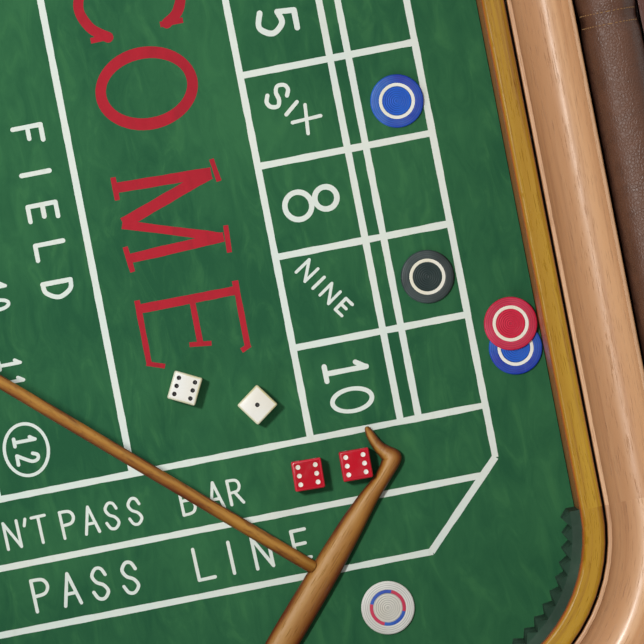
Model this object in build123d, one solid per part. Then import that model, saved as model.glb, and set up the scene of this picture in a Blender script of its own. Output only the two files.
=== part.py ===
"""Craps table: a round-cornered tub on turned legs, with a chip-rack rail, arm pads, a drop box and its playing pieces.

Frame, in millimetres: the origin is on the floor under the middle of the table. +X runs along the table to the
end where the dice lie, +Y to the boxman's side, and +Z up. A rail or wall section is drawn as (out, up): out is
the distance outward from the tub's inner wall face, and up is the height above the floor.
"""

import os
from math import cos, hypot, radians, sin

from build123d import *

# ---- driving dimensions ----
INNER_LENGTH = 1586.0
INNER_WIDTH = 580.0
CORNER_RADIUS = 110.0
FELT_TOP = 746.0
RAIL_TOP = 900.0
WALL_BOTTOM = 600.0
WALL_THICK = 16.0
FELT_THICK = 2.0
UNDERLAY_THICK = 5.0
BED_THICK = 24.0
BED_CLEARANCE = 0.5
BUMPER_THICK = 12.0
BUMPER_TOP = 878.0

# ---- rail section ----
SHADOW_GAP = 2.0
RACK_WIDTH = 46.0
RACK_DROP = 3.0
RAIL_BASE_THICK = 16.0
RAIL_BASE_TOP = 858.0
PAD_WIDTH = 46.0
PAD_TOP = 914.0
FASCIA_THICK = 12.0
FASCIA_BOTTOM = 836.0
FASCIA_TOP = 886.0
CHIP_RADIUS = 19.5
CHIP_THICK = 3.3
GROOVE_RADIUS = 20.5
GROOVE_DEPTH = 16.0

# ---- drink shelf and brackets ----
SHELF_TOP = 716.0
SHELF_THICK = 16.0
SHELF_DEPTH = 92.0
SHELF_LIP = 8.0
RAIL_BRACKET_THICK = 22.0
SHELF_BRACKET_THICK = 18.0
LONG_SIDE_BRACKETS = (-620.0, -310.0, 0.0, 310.0, 620.0)
END_BRACKETS = (-110.0, 110.0)

# ---- under-frame, legs and feet ----
LEG_X = 600.0
LEG_Y = 240.0
LEG_BLOCK = 76.0
LEG_TOP = 620.0
LEG_BOTTOM = 22.0
LEG_LOW_BLOCK = (120.0, 200.0)
LEG_HIGH_BLOCK = 485.0
CROSS_BEARER_X = (-600.0, -200.0, 200.0, 600.0)
LONG_BEARER_Y = 80.0
BEARER_WIDTH = 45.0
STRETCHER_HEIGHT = 42.0
STRETCHER_WIDTH = 30.0
STRETCHER_LEVEL = 160.0
FOOT_STEM_RADIUS = 5.0
FOOT_BORE_RADIUS = 5.05
FOOT_PAD_RADIUS = 22.0
FOOT_PAD_THICK = 8.0
FOOT_STEM_TOP = 60.0
FOOT_BORE_TOP = 64.0

# ---- boxman's station ----
SLOT_Y = 260.0
SLOT_LENGTH = 100.0
SLOT_WIDTH = 10.0
SHEET_STEEL = 1.5
BOX_HALF_WIDTH = 66.0
BOX_BACK_Y = 140.0
BOX_FRONT_Y = 280.0
BOX_BOTTOM = 400.0
BOX_TOP = 590.0
RUNNER_LEDGE = 578.0
CHUTE_BOTTOM = 596.0
HINGE_PIN_RADIUS = 2.0
HINGE_BORE_RADIUS = 2.06
KNUCKLE_RADIUS = 4.0
TRAY_LENGTH = 320.0
TRAY_WIDTH = 122.0
TRAY_HEIGHT = 26.0
TRAY_Y = 171.0
TRAY_TROUGHS = 7
TRAY_PITCH = 43.0

# ---- playing pieces ----
PASS_LINE_X = 598.0
LAYOUT_EDGE_Y = 240.0
LOOSE_GAP = 0.1
WHITE_DIE = 21.0
RED_DIE = 22.0
DIE_EDGE_RADIUS = 1.6
PIP_SPACING = 0.29
PIP_RADIUS = 0.07
PIP_DEPTH = 0.5

# ---- dice stick ----
# The head is drawn with its bend at the origin and its straight run along +X; each station is (x, y, half width).
STICK_BEND = (23.2, -71.4)
STICK_HEADING = -42.0
HEAD_THICK = 13.0
HEAD_STATIONS = (
    (-5.6, -27.4, 2.4),
    (-0.4, -17.8, 4.0),
    (1.6, -6.6, 5.4),
    (1.0, 0.2, 6.6),
    (22.0, 0.4, 5.7),
    (38.0, -0.9, 7.0),
    (58.0, -0.9, 8.8),
    (97.0, -0.3, 10.5),
    (165.0, 0.0, 11.3),
)
HANDLE_FOOT = (101.0, -8.4, 9.2)
HANDLE_RISE = 16.1
HANDLE_LENGTH = 689.0
HANDLE_TIP_RADIUS = 4.9
HANDLE_GRIP_RADIUS = 4.3

HALF_LENGTH = INNER_LENGTH / 2
HALF_WIDTH = INNER_WIDTH / 2
LONG_RUN = HALF_LENGTH - CORNER_RADIUS
END_RUN = HALF_WIDTH - CORNER_RADIUS
UNDERLAY_TOP = FELT_TOP - FELT_THICK
BED_TOP = UNDERLAY_TOP - UNDERLAY_THICK
BED_BOTTOM = BED_TOP - BED_THICK
RACK_START = WALL_THICK + SHADOW_GAP
RACK_END = RACK_START + RACK_WIDTH
PAD_END = RACK_END + PAD_WIDTH
RAIL_END = PAD_END + FASCIA_THICK
RACK_TOP = RAIL_TOP - RACK_DROP


def block(x0, x1, y0, y1, z0, z1):
    """A box between two corners."""
    return Pos((x0 + x1) / 2, (y0 + y1) / 2, (z0 + z1) / 2) * Box(x1 - x0, y1 - y0, z1 - z0)


def rod(radius, z0, z1, x=0.0, y=0.0):
    """A round upright bar."""
    return Pos(x, y, (z0 + z1) / 2) * Cylinder(radius, z1 - z0)


def save(name, *solids):
    """Writes one sub-part, of one or more separate solids."""
    shape = solids[0] if len(solids) == 1 else Compound(children=list(solids))
    export_step(shape, f"parts/{name}.step")


# ---- sections that run round the tub ----
def section(*points):
    """A closed section from (out, up) points."""
    return make_face(Polyline(*points, close=True))


def board(out0, out1, up0, up1):
    """A rectangular section."""
    return section((out0, up0), (out1, up0), (out1, up1), (out0, up1))


def rounded(shape, radius, up_at_least):
    """The section with its corners above a height rounded over."""
    corners = [v for v in shape.vertices() if v.Y > up_at_least]
    return fillet(corners, radius)


def side_plane(angle, distance, along):
    """The drawing plane of a section: out points at an angle from +X, and up is +Z."""
    outward = Vector(cos(radians(angle)), sin(radians(angle)), 0)
    normal = outward.cross(Vector(0, 0, 1))
    return Plane(origin=outward * distance - normal * along, x_dir=outward, z_dir=normal)


def straight(shape, angle):
    """A section run along one straight side: 0 right end, 90 boxman's side, 180 left end, 270 player's side."""
    along_end = angle % 180 == 0
    distance = HALF_LENGTH if along_end else HALF_WIDTH
    run = END_RUN if along_end else LONG_RUN
    return extrude(side_plane(angle, distance, run) * shape, amount=2 * run)


def corner(shape, quadrant):
    """A section swept round one corner: 0 is the corner at +X, +Y, counted anticlockwise."""
    start = 90.0 * quadrant
    middle = start + 45.0
    centre = Vector(
        LONG_RUN if cos(radians(middle)) > 0 else -LONG_RUN,
        END_RUN if sin(radians(middle)) > 0 else -END_RUN,
        0,
    )
    outward = Vector(cos(radians(start)), sin(radians(start)), 0)
    normal = outward.cross(Vector(0, 0, 1))
    plane = Plane(origin=centre + outward * CORNER_RADIUS, x_dir=outward, z_dir=normal)
    return revolve(plane * shape, axis=Axis(centre, (0, 0, 1)), revolution_arc=90)


def corners(shape):
    """A section swept round all four corners."""
    return [corner(shape, quadrant) for quadrant in range(4)]


# ---- the tub ----
def plan_sheet(z0, z1):
    """A flat sheet that fills the tub between two heights, cut for the money slot."""
    outline = RectangleRounded(
        INNER_LENGTH - 2 * BED_CLEARANCE, INNER_WIDTH - 2 * BED_CLEARANCE, CORNER_RADIUS - BED_CLEARANCE
    )
    sheet = Pos(0, 0, z0) * extrude(outline, amount=z1 - z0)
    return sheet - money_slot(z0 - 1, z1 + 1)


def money_slot(z0, z1, margin=0.0):
    """The slot that notes are pushed through, as a block to cut away."""
    half = SLOT_LENGTH / 2 + margin
    side = SLOT_WIDTH / 2 + margin
    return block(-half, half, SLOT_Y - side, SLOT_Y + side, z0, z1)


def build_tub():
    save("bed_board", plan_sheet(BED_BOTTOM, BED_TOP))
    save("bed_underlay", plan_sheet(BED_TOP, UNDERLAY_TOP))
    save("layout_felt", plan_sheet(UNDERLAY_TOP, FELT_TOP))
    wall = rounded(board(0, WALL_THICK, WALL_BOTTOM, RAIL_TOP), 3, RAIL_TOP - 1)
    save("wall_right_end", straight(wall, 0))
    save("wall_boxman_side", straight(wall, 90))
    save("wall_left_end", straight(wall, 180))
    save("wall_player_side", straight(wall, 270))
    save("wall_corners", *corners(wall))
    bumper = board(-BUMPER_THICK, 0, FELT_TOP, BUMPER_TOP)
    save("bumper_player_side", straight(bumper, 270))
    save("bumper_ends", straight(bumper, 0), straight(bumper, 180))
    save("bumper_corners", *corners(bumper))


def build_mirror():
    """The mirror on the boxman's wall that shows the far faces of the dice."""
    face = HALF_WIDTH - 7
    outer = block(-212, 212, face, HALF_WIDTH, 763, 882)
    frame = outer - block(-200, 200, face - 1, HALF_WIDTH + 1, 775, 870)
    save("mirror_frame", frame)
    save("mirror_glass", block(-200, 200, HALF_WIDTH - 5, HALF_WIDTH - 1, 775, 870))


# ---- the rail ----
def rack_section():
    """The chip rack: a bar with one round groove that holds a row of chips on edge."""
    bar = rounded(board(RACK_START, RACK_END, RAIL_BASE_TOP, RACK_TOP), 1.2, RACK_TOP - 1)
    middle = (RACK_START + RACK_END) / 2
    groove = Pos(middle, RACK_TOP - GROOVE_DEPTH + GROOVE_RADIUS) * Circle(GROOVE_RADIUS)
    return bar - groove


def build_rail():
    base = board(WALL_THICK, PAD_END, RAIL_BASE_TOP - RAIL_BASE_THICK, RAIL_BASE_TOP)
    rack = rack_section()
    pad = rounded(board(RACK_END, PAD_END, RAIL_BASE_TOP, PAD_TOP), 18, PAD_TOP - 1)
    fascia = rounded(board(PAD_END, RAIL_END, FASCIA_BOTTOM, FASCIA_TOP), 4, FASCIA_TOP - 1)
    angles = (0, 90, 180, 270)
    save("rail_base_sides", *[straight(base, angle) for angle in angles])
    save("rail_base_corners", *corners(base))
    save("chip_rack_boxman_side", straight(rack, 90))
    save("chip_rack_player_side", straight(rack, 270))
    save("chip_rack_ends", straight(rack, 0), straight(rack, 180))
    save("chip_rack_corners", *corners(rack))
    save("arm_pad_boxman_side", straight(pad, 90))
    save("arm_pad_player_side", straight(pad, 270))
    save("arm_pad_ends", straight(pad, 0), straight(pad, 180))
    save("arm_pad_corners", *corners(pad))
    save("rail_fascia_sides", *[straight(fascia, angle) for angle in angles])
    save("rail_fascia_corners", *corners(fascia))


def bracket(shape, angle, along, thick):
    """A flat bracket of the given section, standing on one side of the tub."""
    distance = HALF_LENGTH if angle % 180 == 0 else HALF_WIDTH
    return extrude(side_plane(angle, distance, along + thick / 2) * shape, amount=thick)


def brackets(shape, thick, angles):
    """The brackets of the named sides, evenly placed."""
    made = []
    for angle in angles:
        places = END_BRACKETS if angle % 180 == 0 else LONG_SIDE_BRACKETS
        made += [bracket(shape, angle, along, thick) for along in places]
    return made


def build_brackets_and_shelf():
    under_rail = RAIL_BASE_TOP - RAIL_BASE_THICK
    rail_corbel = section(
        (WALL_THICK, under_rail), (96, under_rail), (96, under_rail - 10), (30, 770), (WALL_THICK, 770)
    )
    save("rail_brackets", *brackets(rail_corbel, RAIL_BRACKET_THICK, (0, 90, 180, 270)))
    under_shelf = SHELF_TOP - SHELF_THICK
    shelf_corbel = section(
        (WALL_THICK, under_shelf), (92, under_shelf), (92, under_shelf - 8), (26, 640), (WALL_THICK, 640)
    )
    save("shelf_brackets", *brackets(shelf_corbel, SHELF_BRACKET_THICK, (0, 180, 270)))
    outer = WALL_THICK + SHELF_DEPTH
    shelf = section(
        (WALL_THICK, under_shelf),
        (outer, under_shelf),
        (outer, SHELF_TOP + SHELF_LIP),
        (outer - SHELF_LIP, SHELF_TOP + SHELF_LIP),
        (outer - SHELF_LIP, SHELF_TOP),
        (WALL_THICK, SHELF_TOP),
    )
    save("drink_shelf_player_side", straight(shelf, 270))
    save("drink_shelf_ends", straight(shelf, 0), straight(shelf, 180))
    save("drink_shelf_corners", corner(shelf, 2), corner(shelf, 3))


# ---- the under-frame ----
def turned_leg():
    """One leg about its own axis: two square blocks joined by a turned vase, on a bun foot."""
    low, high = LEG_LOW_BLOCK
    vase = Spline((20, high), (24, 240), (34, 330), (30, 410), (20, 460), (26, LEG_HIGH_BLOCK))
    bun = Spline((24, LEG_BOTTOM), (33, 48), (22, 84), (26, low))
    turned = [
        make_face([bun, Polyline((26, low), (0, low), (0, LEG_BOTTOM), (24, LEG_BOTTOM))]),
        make_face([vase, Polyline((26, LEG_HIGH_BLOCK), (0, LEG_HIGH_BLOCK), (0, high), (20, high))]),
    ]
    leg = Pos(0, 0, (low + high) / 2) * Box(LEG_BLOCK - 12, LEG_BLOCK - 12, high - low)
    leg += Pos(0, 0, (LEG_HIGH_BLOCK + LEG_TOP) / 2) * Box(LEG_BLOCK, LEG_BLOCK, LEG_TOP - LEG_HIGH_BLOCK)
    for half_section in turned:
        leg += revolve(Plane.XZ * half_section, axis=Axis.Z)
    return leg - rod(FOOT_BORE_RADIUS, LEG_BOTTOM - 1, FOOT_BORE_TOP)


def levelling_foot():
    """A pad, a hexagon nut and a threaded stem in one piece, standing on the floor."""
    pad = rod(FOOT_PAD_RADIUS, 0, FOOT_PAD_THICK)
    pad = chamfer(pad.edges().sort_by(Axis.Z)[-1], 2)
    nut = Pos(0, 0, FOOT_PAD_THICK) * extrude(RegularPolygon(9, 6), amount=6)
    return pad + nut + rod(FOOT_STEM_RADIUS, FOOT_PAD_THICK, FOOT_STEM_TOP)


def build_under_frame():
    half_bearer = BEARER_WIDTH / 2
    long_bearers = [
        block(-700, 700, y - half_bearer, y + half_bearer, 655, BED_BOTTOM) for y in (-LONG_BEARER_Y, LONG_BEARER_Y)
    ]
    cross_bearers = [
        block(x - half_bearer, x + half_bearer, -HALF_WIDTH, HALF_WIDTH, LEG_TOP, 655) for x in CROSS_BEARER_X
    ]
    save("bed_bearers", *long_bearers, *cross_bearers)
    leg = turned_leg()
    foot = levelling_foot()
    for end, x in (("left", -LEG_X), ("right", LEG_X)):
        for side, y in (("player", -LEG_Y), ("boxman", LEG_Y)):
            save(f"leg_{side}_{end}", Pos(x, y, 0) * leg)
            save(f"foot_{side}_{end}", Pos(x, y, 0) * foot)
    z0 = STRETCHER_LEVEL - STRETCHER_HEIGHT / 2
    z1 = STRETCHER_LEVEL + STRETCHER_HEIGHT / 2
    half = STRETCHER_WIDTH / 2
    face = LEG_Y - (LEG_BLOCK - 12) / 2
    save("stretcher_ends", *[block(x - half, x + half, -face, face, z0, z1) for x in (-LEG_X, LEG_X)])
    save("stretcher_long", block(half - LEG_X, LEG_X - half, -half, half, z0, z1))


# ---- the boxman's station ----
def build_money_slot():
    half = SLOT_LENGTH / 2
    side = SLOT_WIDTH / 2
    plate = block(-half - 15, half + 15, SLOT_Y - 12, SLOT_Y + 12, FELT_TOP, FELT_TOP + 2)
    save("money_slot_plate", plate - money_slot(FELT_TOP - 1, FELT_TOP + 3))
    inner = money_slot(CHUTE_BOTTOM - 1, BED_BOTTOM + 1, margin=2.5)
    outer = money_slot(CHUTE_BOTTOM, BED_BOTTOM, margin=2.5 + SHEET_STEEL)
    save("money_chute", outer - inner)
    blade = block(-half + 4, half - 4, SLOT_Y - side + 2, SLOT_Y + side - 2, 660, FELT_TOP + 2)
    shoulder = block(-half - 6, half + 6, SLOT_Y - 8, SLOT_Y + 8, FELT_TOP + 2, FELT_TOP + 8)
    grip = block(-26, 26, SLOT_Y - 5, SLOT_Y + 5, FELT_TOP + 8, FELT_TOP + 46)
    grip = fillet(grip.edges().filter_by(Axis.Y).group_by(Axis.Z)[-1], 10)
    save("money_paddle", blade + shoulder + grip)


def build_drop_box():
    wide = BOX_HALF_WIDTH
    skin = SHEET_STEEL
    shell = block(-wide, wide, BOX_BACK_Y, BOX_FRONT_Y, BOX_BOTTOM, BOX_TOP)
    shell -= block(-wide + skin, wide - skin, BOX_BACK_Y + skin, BOX_FRONT_Y + 1, BOX_BOTTOM + skin, BOX_TOP - skin)
    shell -= money_slot(BOX_TOP - 5, BOX_TOP + 1, margin=2)
    for outward in (-1, 1):
        lip = block(wide, wide + 11, BOX_BACK_Y, BOX_FRONT_Y, RUNNER_LEDGE + 0.5, RUNNER_LEDGE + 3.5)
        shell += lip if outward > 0 else mirror(lip, about=Plane.YZ)
    pin_x, pin_y = hinge_axis()
    for z0, z1 in ((430, 450), (540, 560)):
        ear = rod(KNUCKLE_RADIUS, z0, z1, pin_x, pin_y)
        ear += block(pin_x, -wide + skin, BOX_FRONT_Y - 8, BOX_FRONT_Y, z0, z1)
        ear += block(pin_x - 1.5, pin_x + 1.5, BOX_FRONT_Y - 8, pin_y, z0, z1)
        shell += ear
    shell += rod(HINGE_PIN_RADIUS, 430, 560, pin_x, pin_y)
    save("drop_box_shell", shell)
    door = block(-wide, wide, BOX_FRONT_Y + 0.4, BOX_FRONT_Y + 3.4, BOX_BOTTOM, BOX_TOP)
    door += rod(KNUCKLE_RADIUS, 450.3, 539.7, pin_x, pin_y)
    door += block(pin_x, -wide + 5, BOX_FRONT_Y + 2, pin_y, 450.3, 539.7)
    door -= rod(HINGE_BORE_RADIUS, 449, 541, pin_x, pin_y)
    for z in (455, 515):
        door += Pos(0, BOX_FRONT_Y + 12, z) * Cylinder(4, 20, rotation=(90, 0, 0))
    door += rod(5, 445, 525, 0, BOX_FRONT_Y + 24)
    door += Pos(45, BOX_FRONT_Y + 7, 485) * Cylinder(9, 10, rotation=(90, 0, 0))
    save("drop_box_door", door)
    web = block(79, 82, 125, 285, RUNNER_LEDGE - 3, BED_BOTTOM)
    web += block(68, 79, 125, 285, RUNNER_LEDGE - 3, RUNNER_LEDGE)
    save("drop_box_runners", web, mirror(web, about=Plane.YZ))


def hinge_axis():
    """Where the drop box door's hinge pin stands."""
    return -BOX_HALF_WIDTH - 6, BOX_FRONT_Y + 6


def trough_places():
    """The middle of each chip trough across the bank tray."""
    return [(i - (TRAY_TROUGHS - 1) / 2) * TRAY_PITCH for i in range(TRAY_TROUGHS)]


def build_bank():
    half = TRAY_LENGTH / 2
    deep = TRAY_WIDTH / 2
    tray = block(-half, half, TRAY_Y - deep, TRAY_Y + deep, FELT_TOP, FELT_TOP + TRAY_HEIGHT)
    trough_z = FELT_TOP + TRAY_HEIGHT + 4
    chips = []
    for i, x in enumerate(trough_places()):
        tray -= Pos(x, TRAY_Y, trough_z) * Cylinder(GROOVE_RADIUS, TRAY_WIDTH - 14, rotation=(90, 0, 0))
        length = CHIP_THICK * (31 - 3 * (i % 3))
        start = TRAY_Y + deep - 7.5
        row = Cylinder(CHIP_RADIUS, length, rotation=(90, 0, 0))
        chips.append(Pos(x, start - length / 2, trough_z - 0.8) * row)
    save("bank_tray", tray)
    save("bank_chips", *chips)


# ---- the playing pieces ----
def on_layout(along, across):
    """A place on the felt, measured from where the pass line meets the layout's outer line at the right end."""
    return PASS_LINE_X + along, LAYOUT_EDGE_Y + across


def die(size, top, turn, along, across):
    """A die with round pips that shows the face called top, turned about +Z."""
    cube = fillet(Box(size, size, size).edges(), DIE_EDGE_RADIUS)
    patterns = {
        1: [(0, 0)],
        2: [(-1, -1), (1, 1)],
        3: [(-1, -1), (0, 0), (1, 1)],
        4: [(-1, -1), (-1, 1), (1, -1), (1, 1)],
        5: [(-1, -1), (-1, 1), (1, -1), (1, 1), (0, 0)],
        6: [(-1, -1), (-1, 1), (0, -1), (0, 1), (1, -1), (1, 1)],
    }
    front, right = (2, 3) if top in (1, 6) else (1, 2)
    tilts = {
        top: (0, 0, 0),
        7 - top: (180, 0, 0),
        front: (90, 0, 0),
        7 - front: (-90, 0, 0),
        right: (0, 90, 0),
        7 - right: (0, -90, 0),
    }
    for face, tilt in tilts.items():
        for i, j in patterns[face]:
            place = Pos(i * PIP_SPACING * size, j * PIP_SPACING * size, size / 2)
            cube -= Rot(*tilt) * place * Cylinder(PIP_RADIUS * size, 2 * PIP_DEPTH)
    x, y = on_layout(along, across)
    return Pos(x, y, FELT_TOP + LOOSE_GAP + size / 2) * Rot(0, 0, turn) * cube


def chip(along, across, level=0):
    """A chip lying flat, with level chips under it."""
    disc = Cylinder(CHIP_RADIUS, CHIP_THICK)
    disc = fillet(disc.edges(), 0.6)
    x, y = on_layout(along, across)
    z = FELT_TOP + LOOSE_GAP + CHIP_THICK / 2 + level * (CHIP_THICK + LOOSE_GAP)
    return Pos(x, y, z) * disc


def tapered(a, b):
    """The outline of a bar between two round ends, each (x, y, half width)."""
    length = hypot(b[0] - a[0], b[1] - a[1])
    along = Vector(b[0] - a[0], b[1] - a[1]) / length
    lean = (a[2] - b[2]) / length
    rise = (1 - lean * lean) ** 0.5
    left = Vector(along.X * lean - along.Y * rise, along.Y * lean + along.X * rise)
    right = Vector(along.X * lean + along.Y * rise, along.Y * lean - along.X * rise)
    start = Vector(a[0], a[1])
    end = Vector(b[0], b[1])
    sides = make_face(
        Polyline(start + left * a[2], end + left * b[2], end + right * b[2], start + right * a[2], close=True)
    )
    return sides + Pos(a[0], a[1]) * Circle(a[2]) + Pos(b[0], b[1]) * Circle(b[2])


def stick_place():
    """Where the dice stick's own frame lies on the felt."""
    x, y = on_layout(*STICK_BEND)
    return Pos(x, y, FELT_TOP + LOOSE_GAP) * Rot(0, 0, STICK_HEADING)


def stick_head():
    """The hooked head of the dice stick, flat on the felt and thicker towards its butt."""
    outline = Sketch()
    for a, b in zip(HEAD_STATIONS, HEAD_STATIONS[1:]):
        outline += tapered(a, b)
    return stick_place() * extrude(outline, amount=HEAD_THICK)


def stick_handle():
    """The round handle, square to the head, that leans up over the player's rail."""
    heading = Vector(0, -cos(radians(HANDLE_RISE)), sin(radians(HANDLE_RISE)))
    middle = Vector(*HANDLE_FOOT) + heading * (HANDLE_LENGTH / 2)
    bar = Plane(origin=middle, z_dir=heading) * Cone(HANDLE_TIP_RADIUS, HANDLE_GRIP_RADIUS, HANDLE_LENGTH)
    return stick_place() * bar


def build_playing_pieces():
    save("die_white_six", die(WHITE_DIE, 6, -26.8, -54.1, -212.7))
    save("die_white_one", die(WHITE_DIE, 1, -54.5, -32.1, -163.1))
    save("die_red_left", die(RED_DIE, 6, -1.7, 24.8, -136.6))
    save("die_red_right", die(RED_DIE, 6, -1.0, 24.3, -101.0))
    save("chip_blue_six", chip(-230.2, -21.0))
    save("chip_black_nine", chip(-100.1, -23.6))
    save("chip_blue_wall", chip(-36.9, 29.6))
    save("chip_red_wall", chip(-55.0, 29.4, level=1))
    save("chip_white_line", chip(131.5, -98.0))
    handle = stick_handle()
    save("stick_head", stick_head() - handle)
    save("stick_handle", handle)


os.makedirs("parts", exist_ok=True)
build_tub()
build_mirror()
build_rail()
build_brackets_and_shelf()
build_under_frame()
build_money_slot()
build_drop_box()
build_bank()
build_playing_pieces()
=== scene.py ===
"""Looks of the craps table, in metres: +X runs to the end where the dice lie, +Y to the boxman's side, +Z up.

Rail, bumper and pad sections are written as (out, up) in millimetres: out is the distance outward from the
tub's inner wall face and up is the height above the floor. The layout is written in millimetres from the
corner of the don't pass band: along runs to the table's end, and across to the boxman's side.
"""

import random
from math import cos, exp, pi, radians, sin, tau

import bmesh
import bpy
from mathutils import Matrix, Vector, noise


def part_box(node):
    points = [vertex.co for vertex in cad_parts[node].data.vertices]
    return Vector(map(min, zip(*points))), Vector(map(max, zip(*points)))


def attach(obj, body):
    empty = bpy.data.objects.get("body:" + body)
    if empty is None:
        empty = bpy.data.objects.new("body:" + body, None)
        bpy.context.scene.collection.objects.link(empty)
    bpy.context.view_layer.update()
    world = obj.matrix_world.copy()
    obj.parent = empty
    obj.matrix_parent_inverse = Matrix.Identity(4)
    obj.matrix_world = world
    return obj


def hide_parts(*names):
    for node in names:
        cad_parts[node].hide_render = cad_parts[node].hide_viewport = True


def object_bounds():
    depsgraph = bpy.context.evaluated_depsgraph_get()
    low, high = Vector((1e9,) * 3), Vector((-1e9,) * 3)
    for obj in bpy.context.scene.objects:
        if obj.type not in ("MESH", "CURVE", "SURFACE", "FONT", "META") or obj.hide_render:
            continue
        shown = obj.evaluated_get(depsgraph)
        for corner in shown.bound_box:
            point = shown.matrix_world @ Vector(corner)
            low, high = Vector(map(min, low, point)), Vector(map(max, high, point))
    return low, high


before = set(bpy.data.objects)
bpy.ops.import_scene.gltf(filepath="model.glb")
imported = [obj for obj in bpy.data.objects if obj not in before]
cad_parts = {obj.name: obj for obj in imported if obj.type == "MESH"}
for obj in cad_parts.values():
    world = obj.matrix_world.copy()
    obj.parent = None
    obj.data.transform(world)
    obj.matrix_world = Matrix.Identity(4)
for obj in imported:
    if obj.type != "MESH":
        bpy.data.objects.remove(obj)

CAD_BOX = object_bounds()
MM = 0.001
random.seed(7)

# ---- the tub, read from the frame ----
FELT_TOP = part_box("layout_felt")[1].z
HALF_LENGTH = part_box("bumper_ends")[1].x
HALF_WIDTH = -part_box("bumper_player_side")[0].y
LONG_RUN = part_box("wall_player_side")[1].x
END_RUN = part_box("wall_right_end")[1].y
CORNER_RADIUS = HALF_LENGTH - LONG_RUN
WALL_THICK = 16 * MM
SIDES = {"right": 0, "boxman": 90, "left": 180, "player": 270}

# ---- the layout ----
ORIGIN_X = HALF_LENGTH - 195 * MM
ORIGIN_Y = HALF_WIDTH - 50 * MM
LINE_WIDTH = 5.0
BOX_PITCH = 67.5
BOX_LINES = tuple(-BOX_PITCH * count for count in range(6, 0, -1))
BOX_START = BOX_LINES[0]
COLUMN_FOOT = -129.8
STRIP_LOW = -62.9
STRIP_HIGH = -49.5
COME_FOOT = -262.3
FIELD_FOOT = -362.0
DONT_PASS_FOOT = -410.0
PASS_FOOT = -457.0
DONT_PASS_END = 49.7
PASS_END = 97.5
CHAMFER = 59.0
DONT_PASS_EASE = 11.0
PRINT_LIFT = 0.03
PRINT_ROOT = -0.1
LAYER = 0.005

# ---- playing pieces ----
CHIP_RADIUS = 19.5
CHIP_THICK = 3.3
RING_TURN = 154 / 180
PIP_PATTERNS = {
    1: [(0, 0)],
    2: [(-1, -1), (1, 1)],
    3: [(-1, -1), (0, 0), (1, 1)],
    4: [(-1, -1), (-1, 1), (1, -1), (1, 1)],
    5: [(-1, -1), (-1, 1), (1, -1), (1, 1), (0, 0)],
    6: [(-1, -1), (-1, 1), (0, -1), (0, 1), (1, -1), (1, 1)],
}


# ---- Finishes ----
def srgb(red, green, blue):
    """A colour given in the usual 0 to 255 steps, as the linear colour that the shaders use."""
    values = []
    for step in (red, green, blue):
        part = step / 255
        values.append(part / 12.92 if part <= 0.04045 else ((part + 0.055) / 1.055) ** 2.4)
    return (*values, 1.0)


class Bench:
    """One node tree, with a short call for each kind of node that the finishes use."""

    def __init__(self, tree):
        self.tree = tree

    def node(self, kind, inputs=(), **settings):
        made = self.tree.nodes.new(kind)
        for key, value in settings.items():
            setattr(made, key, value)
        for key, value in dict(inputs).items():
            self.feed(made.inputs[key], value)
        return made

    def feed(self, socket, value):
        if isinstance(value, bpy.types.NodeSocket):
            self.tree.links.new(value, socket)
        else:
            socket.default_value = value

    def math(self, operation, a, b=0.0):
        return self.node("ShaderNodeMath", {0: a, 1: b}, operation=operation).outputs[0]

    def plus(self, a, b):
        return self.math("ADD", a, b)

    def minus(self, a, b):
        return self.math("SUBTRACT", a, b)

    def times(self, a, b):
        return self.math("MULTIPLY", a, b)

    def noise(self, vector, scale, detail=4.0, roughness=0.55, distortion=0.0):
        sockets = {"Vector": vector, "Scale": scale, "Detail": detail, "Roughness": roughness}
        sockets["Distortion"] = distortion
        return self.node("ShaderNodeTexNoise", sockets).outputs["Fac"]

    def stretch(self, vector, scale):
        """The coordinate scaled along each axis, so that a pattern runs long where the scale is small."""
        sockets = {"Vector": vector, "Scale": scale}
        return self.node("ShaderNodeMapping", sockets, vector_type="POINT").outputs[0]

    def band(self, value, low, high, to_low=0.0, to_high=1.0):
        sockets = {"Value": value, "From Min": low, "From Max": high, "To Min": to_low, "To Max": to_high}
        return self.node("ShaderNodeMapRange", sockets, clamp=True).outputs["Result"]

    def mix(self, factor, a, b):
        made = self.node("ShaderNodeMix", data_type="RGBA")
        self.feed(made.inputs["Factor"], factor)
        self.feed(made.inputs[6], a)
        self.feed(made.inputs[7], b)
        return made.outputs[2]

    def bump(self, height, distance, strength=1.0):
        sockets = {"Height": height, "Distance": distance, "Strength": strength}
        return self.node("ShaderNodeBump", sockets).outputs["Normal"]

    def place(self):
        return self.node("ShaderNodeTexCoord").outputs["Object"]


def group(name, inputs, outputs):
    """A new shader node group: its tree's bench, its input sockets by name, and its output node."""
    tree = bpy.data.node_groups.new(name, "ShaderNodeTree")
    for label, kind, value in inputs:
        socket = tree.interface.new_socket(label, in_out="INPUT", socket_type=kind)
        if value is not None:
            socket.default_value = value
    for label, kind in outputs:
        tree.interface.new_socket(label, in_out="OUTPUT", socket_type=kind)
    bench = Bench(tree)
    entry = tree.nodes.new("NodeGroupInput")
    exit_node = tree.nodes.new("NodeGroupOutput")
    return tree, bench, entry.outputs, exit_node.inputs


FLOAT = "NodeSocketFloat"
COLOUR = "NodeSocketColor"
VECTOR = "NodeSocketVector"


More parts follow.
